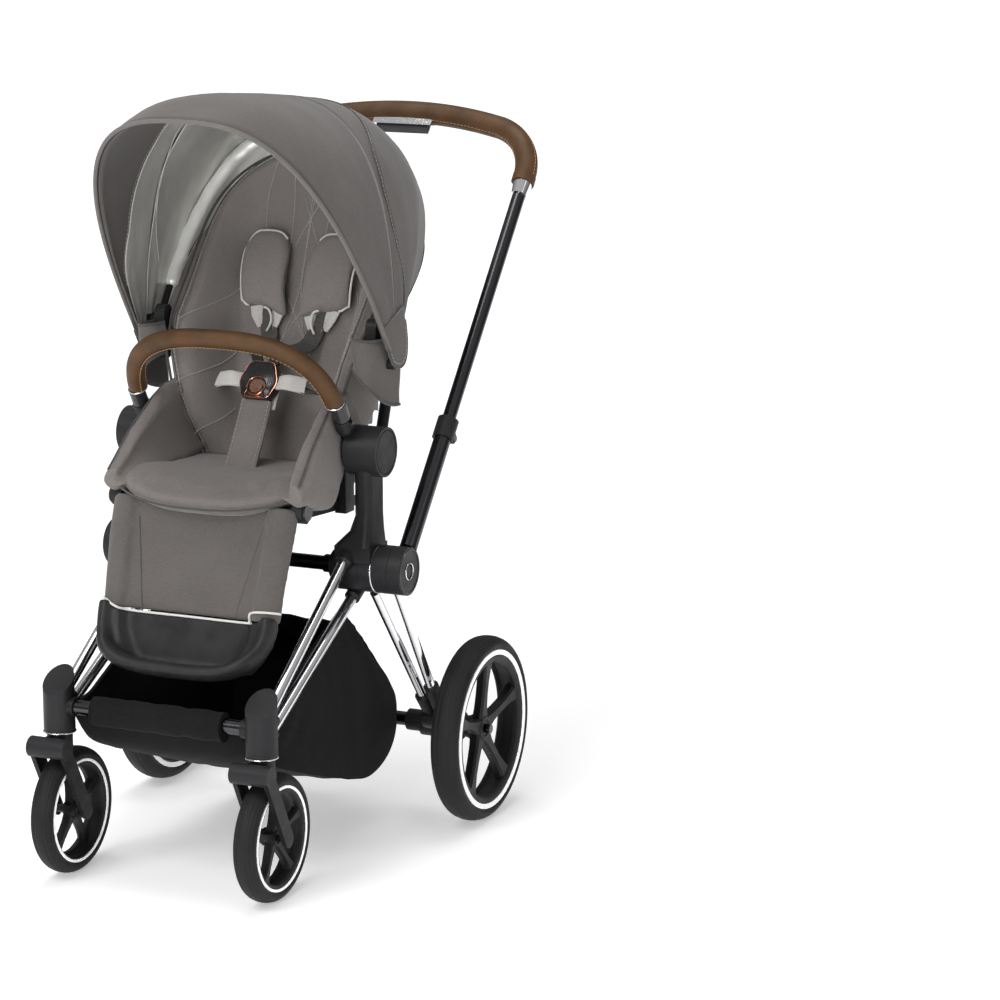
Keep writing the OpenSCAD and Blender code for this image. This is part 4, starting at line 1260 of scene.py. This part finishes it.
flaps = Shape()
for side in (-1, 1):
    for x, turn_in in ((0.066, 0.010), (0.027, -0.004)):
        run = [on_back(side * x, 0.246, 0.021), on_back(side * (x - turn_in * 0.3), 0.232, 0.023),
               on_back(side * (x - turn_in), 0.214, 0.020)]
        flaps.band(run, tuple(back_out), lambda f: 0.022 * (1 - 0.6 * f * f), 0.003)
sewn(flaps, "shoulder_pad_backing", "backrest", [pale_felt], "strap_webbing")

harness = Shape()
for side in (-1, 1):
    run = [on_back(side * 0.057, 0.335, 0.016), on_back(side * 0.052, 0.290, 0.020),
           on_back(side * 0.045, 0.236, 0.021), on_back(side * 0.034, 0.190, 0.027),
           on_buckle(side * 0.021, 0.048, -0.001)]
    harness.band(smooth_path(run, 8), tuple(back_out), 0.028, 0.0024)
sewn(harness, "harness_webbing", ("seat", "backrest", on_buckle(0, 0.050, 0), on_back(0, 0.262, 0.02)), [webbing],
     "strap_webbing", ["harness_straps"])
strap_stitch = Shape()
for side in (-1, 1):
    for x in (-0.0105, 0.0105):
        run = [on_back(side * 0.052 + x, 0.240, 0.0235), on_back(side * 0.040 + x, 0.208, 0.0265)]
        stitches(strap_stitch, run, radius=0.0004)
sewn(strap_stitch, "harness_stitching", "backrest", [stitch_pale], "strap_webbing")

waist = Shape()
for side in (-1, 1):
    run = [on_buckle(side * 0.024, 0.000, -0.003), (side * 0.048, -0.079, 0.7065), (side * 0.074, -0.068, 0.7005)]
    waist.band(smooth_path(run, 6), (0, -0.75, 0.6), lambda f: 0.023 + 0.004 * f, 0.005, crown=0.001)
sewn(waist, "waist_pads", "seat", [pale_felt], "strap_webbing")
waist_webbing = Shape()
for side in (-1, 1):
    run = [(side * 0.068, -0.0702, 0.6985), (side * 0.076, -0.063, 0.694), (side * 0.084, -0.040, 0.686),
           (side * 0.088, -0.010, 0.680)]
    waist_webbing.band(smooth_path(run, 6), (0, -0.5, 0.86), 0.024, 0.0024)
sewn(waist_webbing, "waist_webbing", "seat", [webbing], "strap_webbing")
backing = Shape().band([on_buckle(0, -0.040, -0.010), on_buckle(0, -0.010, -0.0135), on_buckle(0, 0.020, -0.0135)],
                       tuple(buckle_out), lambda f: 0.058 - 0.006 * f, 0.004)
sewn(backing, "buckle_backing", "seat", [pale_felt], "strap_webbing")


# ---- Leg rest ----

LEG = V((0, -0.236, 0.548))
LEG_SLOPE = radians(19)
leg_down = V((0, -sin(LEG_SLOPE), -cos(LEG_SLOPE)))
leg_out = V((0, -cos(LEG_SLOPE), sin(LEG_SLOPE)))


def on_leg(x, d, f=0.0):
    return LEG + V((x, 0, 0)) + leg_down * d + leg_out * f


LEG_SIDE = [(0.0, 0.153), (0.05, 0.153), (0.17, 0.147), (0.20, 0.142), (0.225, 0.130), (0.246, 0.112)]


def leg_half(d):
    return lerp_table(LEG_SIDE, d)


def leg_face(x, d):
    w = leg_half(d)
    channel = ease((abs(x) - (w - 0.045)) / 0.012)
    top = 0.006 * (1 - ease(d / 0.05))
    return 0.015 + 0.014 * channel + top + 0.0008 * wander(x * 15, d * 14, 33)


def leg_rows(start, end, count, face, behind):
    rows = []
    for i in range(count + 1):
        d = start + (end - start) * i / count
        w = leg_half(d)
        row = []
        for u in steps_across(44):
            row.append(on_leg(w * u, d, 0.006 + (face(w * u, d) - 0.006) * rounded(u, 10)))
        for u in steps_across(44)[43:0:-1]:
            row.append(on_leg(w * u, d, 0.006 + (behind - 0.006) * rounded(u, 10)))
        rows.append(row)
    return rows


leg_pad_skin = cushioned(leg_rows(0.000, 0.1685, 26, leg_face, -0.002), "leg_rest_padding", "leg_rest", cloth,
                         "seat_fabric", "leg_rest_panel", 0.005, 1.2, 0.003)


def lip_face(x, d):
    return leg_face(x, d) - 0.001


lip = Shape().skin(leg_rows(0.1690, 0.246, 18, lip_face, 0.0), 0)


def lip_rim_point(t):
    """The raised rim: down one side, round the corner and across the bottom. t from -1 to 1."""
    x, y = superellipse(0.1345, 0.0925, 3.3, 90 - 90 * abs(t))
    d = 0.160 + y
    f = 0.030 + 0.022 * ease((d - 0.19) / 0.06)
    return on_leg(copysign(x, t) if t else 0.0, d, f)


rim_path = [lip_rim_point(sin(pi / 2 * (-1 + 2 * i / 64))) for i in range(65)]
rim_rows = []
for i, p in enumerate(rim_path):
    side_dir = tangent(rim_path, i).cross(leg_out).normalized()
    low = (p - LEG).dot(leg_down)
    depth = 0.016 + 0.011 * ease((low - 0.19) / 0.06)
    rim_rows.append([p + side_dir * 0.0115 * cos(a) - leg_out * depth * 0.55 + leg_out * depth * sin(a)
                     for a in turns(20)])
lip.skin(rim_rows)
lip_obj = lip.piece("footrest_leather", None, [black_leather], "lip_leather", ["footrest_lip"], weld=1e-5)
even_mesh(lip_obj, 0.0035)
soften = lip_obj.modifiers.new("soften", "SMOOTH")
soften.iterations = 6
soften.factor = 0.6
apply_modifiers(lip_obj)
lip_obj.data.polygons.foreach_set("use_smooth", [True] * len(lip_obj.data.polygons))
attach(lip_obj, "leg_rest")

PIPING = [(-0.1475, 0.156), (-0.135, 0.159), (-0.118, 0.167), (-0.095, 0.1705), (0.0, 0.1705), (0.095, 0.1705),
          (0.101, 0.168), (0.103, 0.158), (0.110, 0.155), (0.1475, 0.152)]


def leg_skin(x, d):
    """The panel's front surface, which rolls back at its sides."""
    return 0.006 + (leg_face(x, d) - 0.006) * rounded(min(1.0, abs(x) / leg_half(d)), 10)


line = [on_leg(p.x, p.y, leg_skin(p.x, p.y) + 0.0012) for p in smooth_path([(x, d, 0) for x, d in PIPING], 10)]
leg_piping = Shape().tube(laid_on(leg_pad_skin, line, 0.0010), 0.0019, 8)
sewn(leg_piping, "leg_rest_piping", "leg_rest", [piping_pale])
# The left line is painted shade: a charcoal line where the panel's crease falls dark. The right line is in the panel's
# own cloth.
leg_lines = Shape()
for top_x, radius, slot in ((-0.103, 0.0011, 0), (0.103, 0.0006, 1)):
    line = []
    for t in [i / 24 for i in range(25)]:
        x, d = top_x * (1 - 0.25 * t), 0.030 + 0.135 * t
        line.append(on_leg(x, d, leg_face(x, d) + 0.0004))
    leg_lines.tube(laid_on(leg_pad_skin, line, 0.0002), radius, 6, slot)
sewn(leg_lines, "leg_rest_channels", "leg_rest", [cloth_dark, cloth])


# ---- Basket ----

profile = smooth_path([(0, y, z) for y, z in (
    (-0.384, 0.262), (-0.381, 0.238), (-0.345, 0.198), (-0.245, 0.156), (-0.148, 0.122), (-0.060, 0.094),
    (-0.006, 0.084), (0.046, 0.094), (0.080, 0.118), (0.0915, 0.152), (0.082, 0.198), (0.0187, 0.257),
    (-0.030, 0.3005), (-0.0727, 0.338))], 6)
total = line_length(profile)
TOP_EDGE = [(0.0, (-0.384, 0.262)), (0.12, (-0.340, 0.270)), (0.5, (-0.200, 0.333)), (0.85, (-0.104, 0.372)),
            (1.0, (-0.0727, 0.338))]
basket_rows = []
run = 0.0
for i, p in enumerate(profile):
    if i:
        run += (p - profile[i - 1]).length
    f = run / total
    ty = lerp_table([(k, v[0]) for k, v in TOP_EDGE], f)
    tz = lerp_table([(k, v[1]) for k, v in TOP_EDGE], f)
    q = V((0, ty, tz))
    n = tangent(profile, i)
    outward = V((0, n.z, -n.y))
    side = []
    for k in range(11):
        u = k / 10
        bulge = 0.004 * sin(pi * u) + 0.0035 * sin(pi * u) * wander(u * 3, f * 9, 41)
        c = p + (q - p) * (1 - u)
        round_in = 0.0035 * ease((u - 0.92) / 0.08)
        side.append(V((0.1480 + bulge - round_in, c.y, c.z)))
    across = []
    for k in range(1, 20):
        x = 0.1445 * (1 - 2 * k / 20)
        sag = 0.006 * (1 - (x / 0.1445) ** 2) + 0.002 * wander(x * 20, f * 12, 43)
        across.append(V((x, p.y, p.z)) + outward * sag)
    far = [V((-s.x, s.y, s.z)) for s in reversed(side)]
    basket_rows.append(side + across + far)
basket_shape = Shape().grid(basket_rows)
row_width = len(basket_rows[0]) - 1
for index in range(len(basket_shape.faces)):
    i, j = divmod(index, row_width)
    if 1 <= i <= 5 and (13 <= j <= 16 or 19 <= j <= 21 or 24 <= j <= 27):
        basket_shape.slots[index] = 1
basket = basket_shape.piece("basket_cloth", None, [basket_cloth, black_mesh], "basket_fabric", ["basket"])
thicken(basket, 0.0016, 0)
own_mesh(basket)
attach(basket, "chassis")

basket_trim = Shape()
basket_trim.tube([row[0] for row in basket_rows], 0.0028, 8)
basket_trim.mirrored()
basket_trim.both()
basket_trim.tube(basket_rows[-1][10:-10], 0.0028, 8)
basket_trim.tube(basket_rows[0][10:-10], 0.0028, 8)
trim_obj = basket_trim.piece("basket_binding", None, [binding_black], "basket_fabric", angle=60)
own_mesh(trim_obj)
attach(trim_obj, "chassis")

sleeve_front = Shape()
rows = []
for i in range(31):
    x = -0.108 + 0.216 * i / 30
    r = 0.0175 + 0.0016 * wander(x * 34, 1, 45)
    rows.append([V((x, -0.398 + r * 1.05 * cos(a), 0.260 + r * 1.25 * sin(a))) for a in turns(20)])
sleeve_front.skin(rows)
for x in (-0.106, 0.106):
    hem = [(0.0015 * cos(t), 0.0182 + 0.0015 * sin(t)) for t in turns(8)]
    sleeve_front.lathe(hem, (x, -0.398, 0.261), closed=True)
sewn(sleeve_front, "basket_front_sleeve", "chassis", [basket_cloth], "basket_fabric")


# ---- Floor ----

floor_mesh = bpy.data.meshes.new("floor")
floor_mesh.from_pydata([(-40, -40, 0), (40, -40, 0), (40, 40, 0), (-40, 40, 0)], [], [(0, 1, 2, 3)])
floor = bpy.data.objects.new("floor", floor_mesh)
scene.collection.objects.link(floor)
floor_shader = Shader("pale floor", 0.8, Specular_IOR_Level=0.0)
floor_shader.colour(floor_shader.noise(0.7, 2), (0.90, 0.90, 0.90), (0.93, 0.93, 0.93))
floor_shader.bsdf.inputs["Emission Color"].default_value = (1, 1, 1, 1)
far = floor_shader.node("ShaderNodeVectorMath", operation="LENGTH")
floor_shader.link(floor_shader.coord.outputs["Object"], far.inputs[0])
glow = floor_shader.node("ShaderNodeMapRange")
for socket, value in zip(("From Min", "From Max", "To Min", "To Max"), (1.0, 5.0, 0.36, 0.80)):
    glow.inputs[socket].default_value = value
floor_shader.link(far.outputs["Value"], glow.inputs["Value"])
floor_shader.link(glow.outputs[0], floor_shader.bsdf.inputs["Emission Strength"])
floor_mesh.materials.append(floor_shader.material)
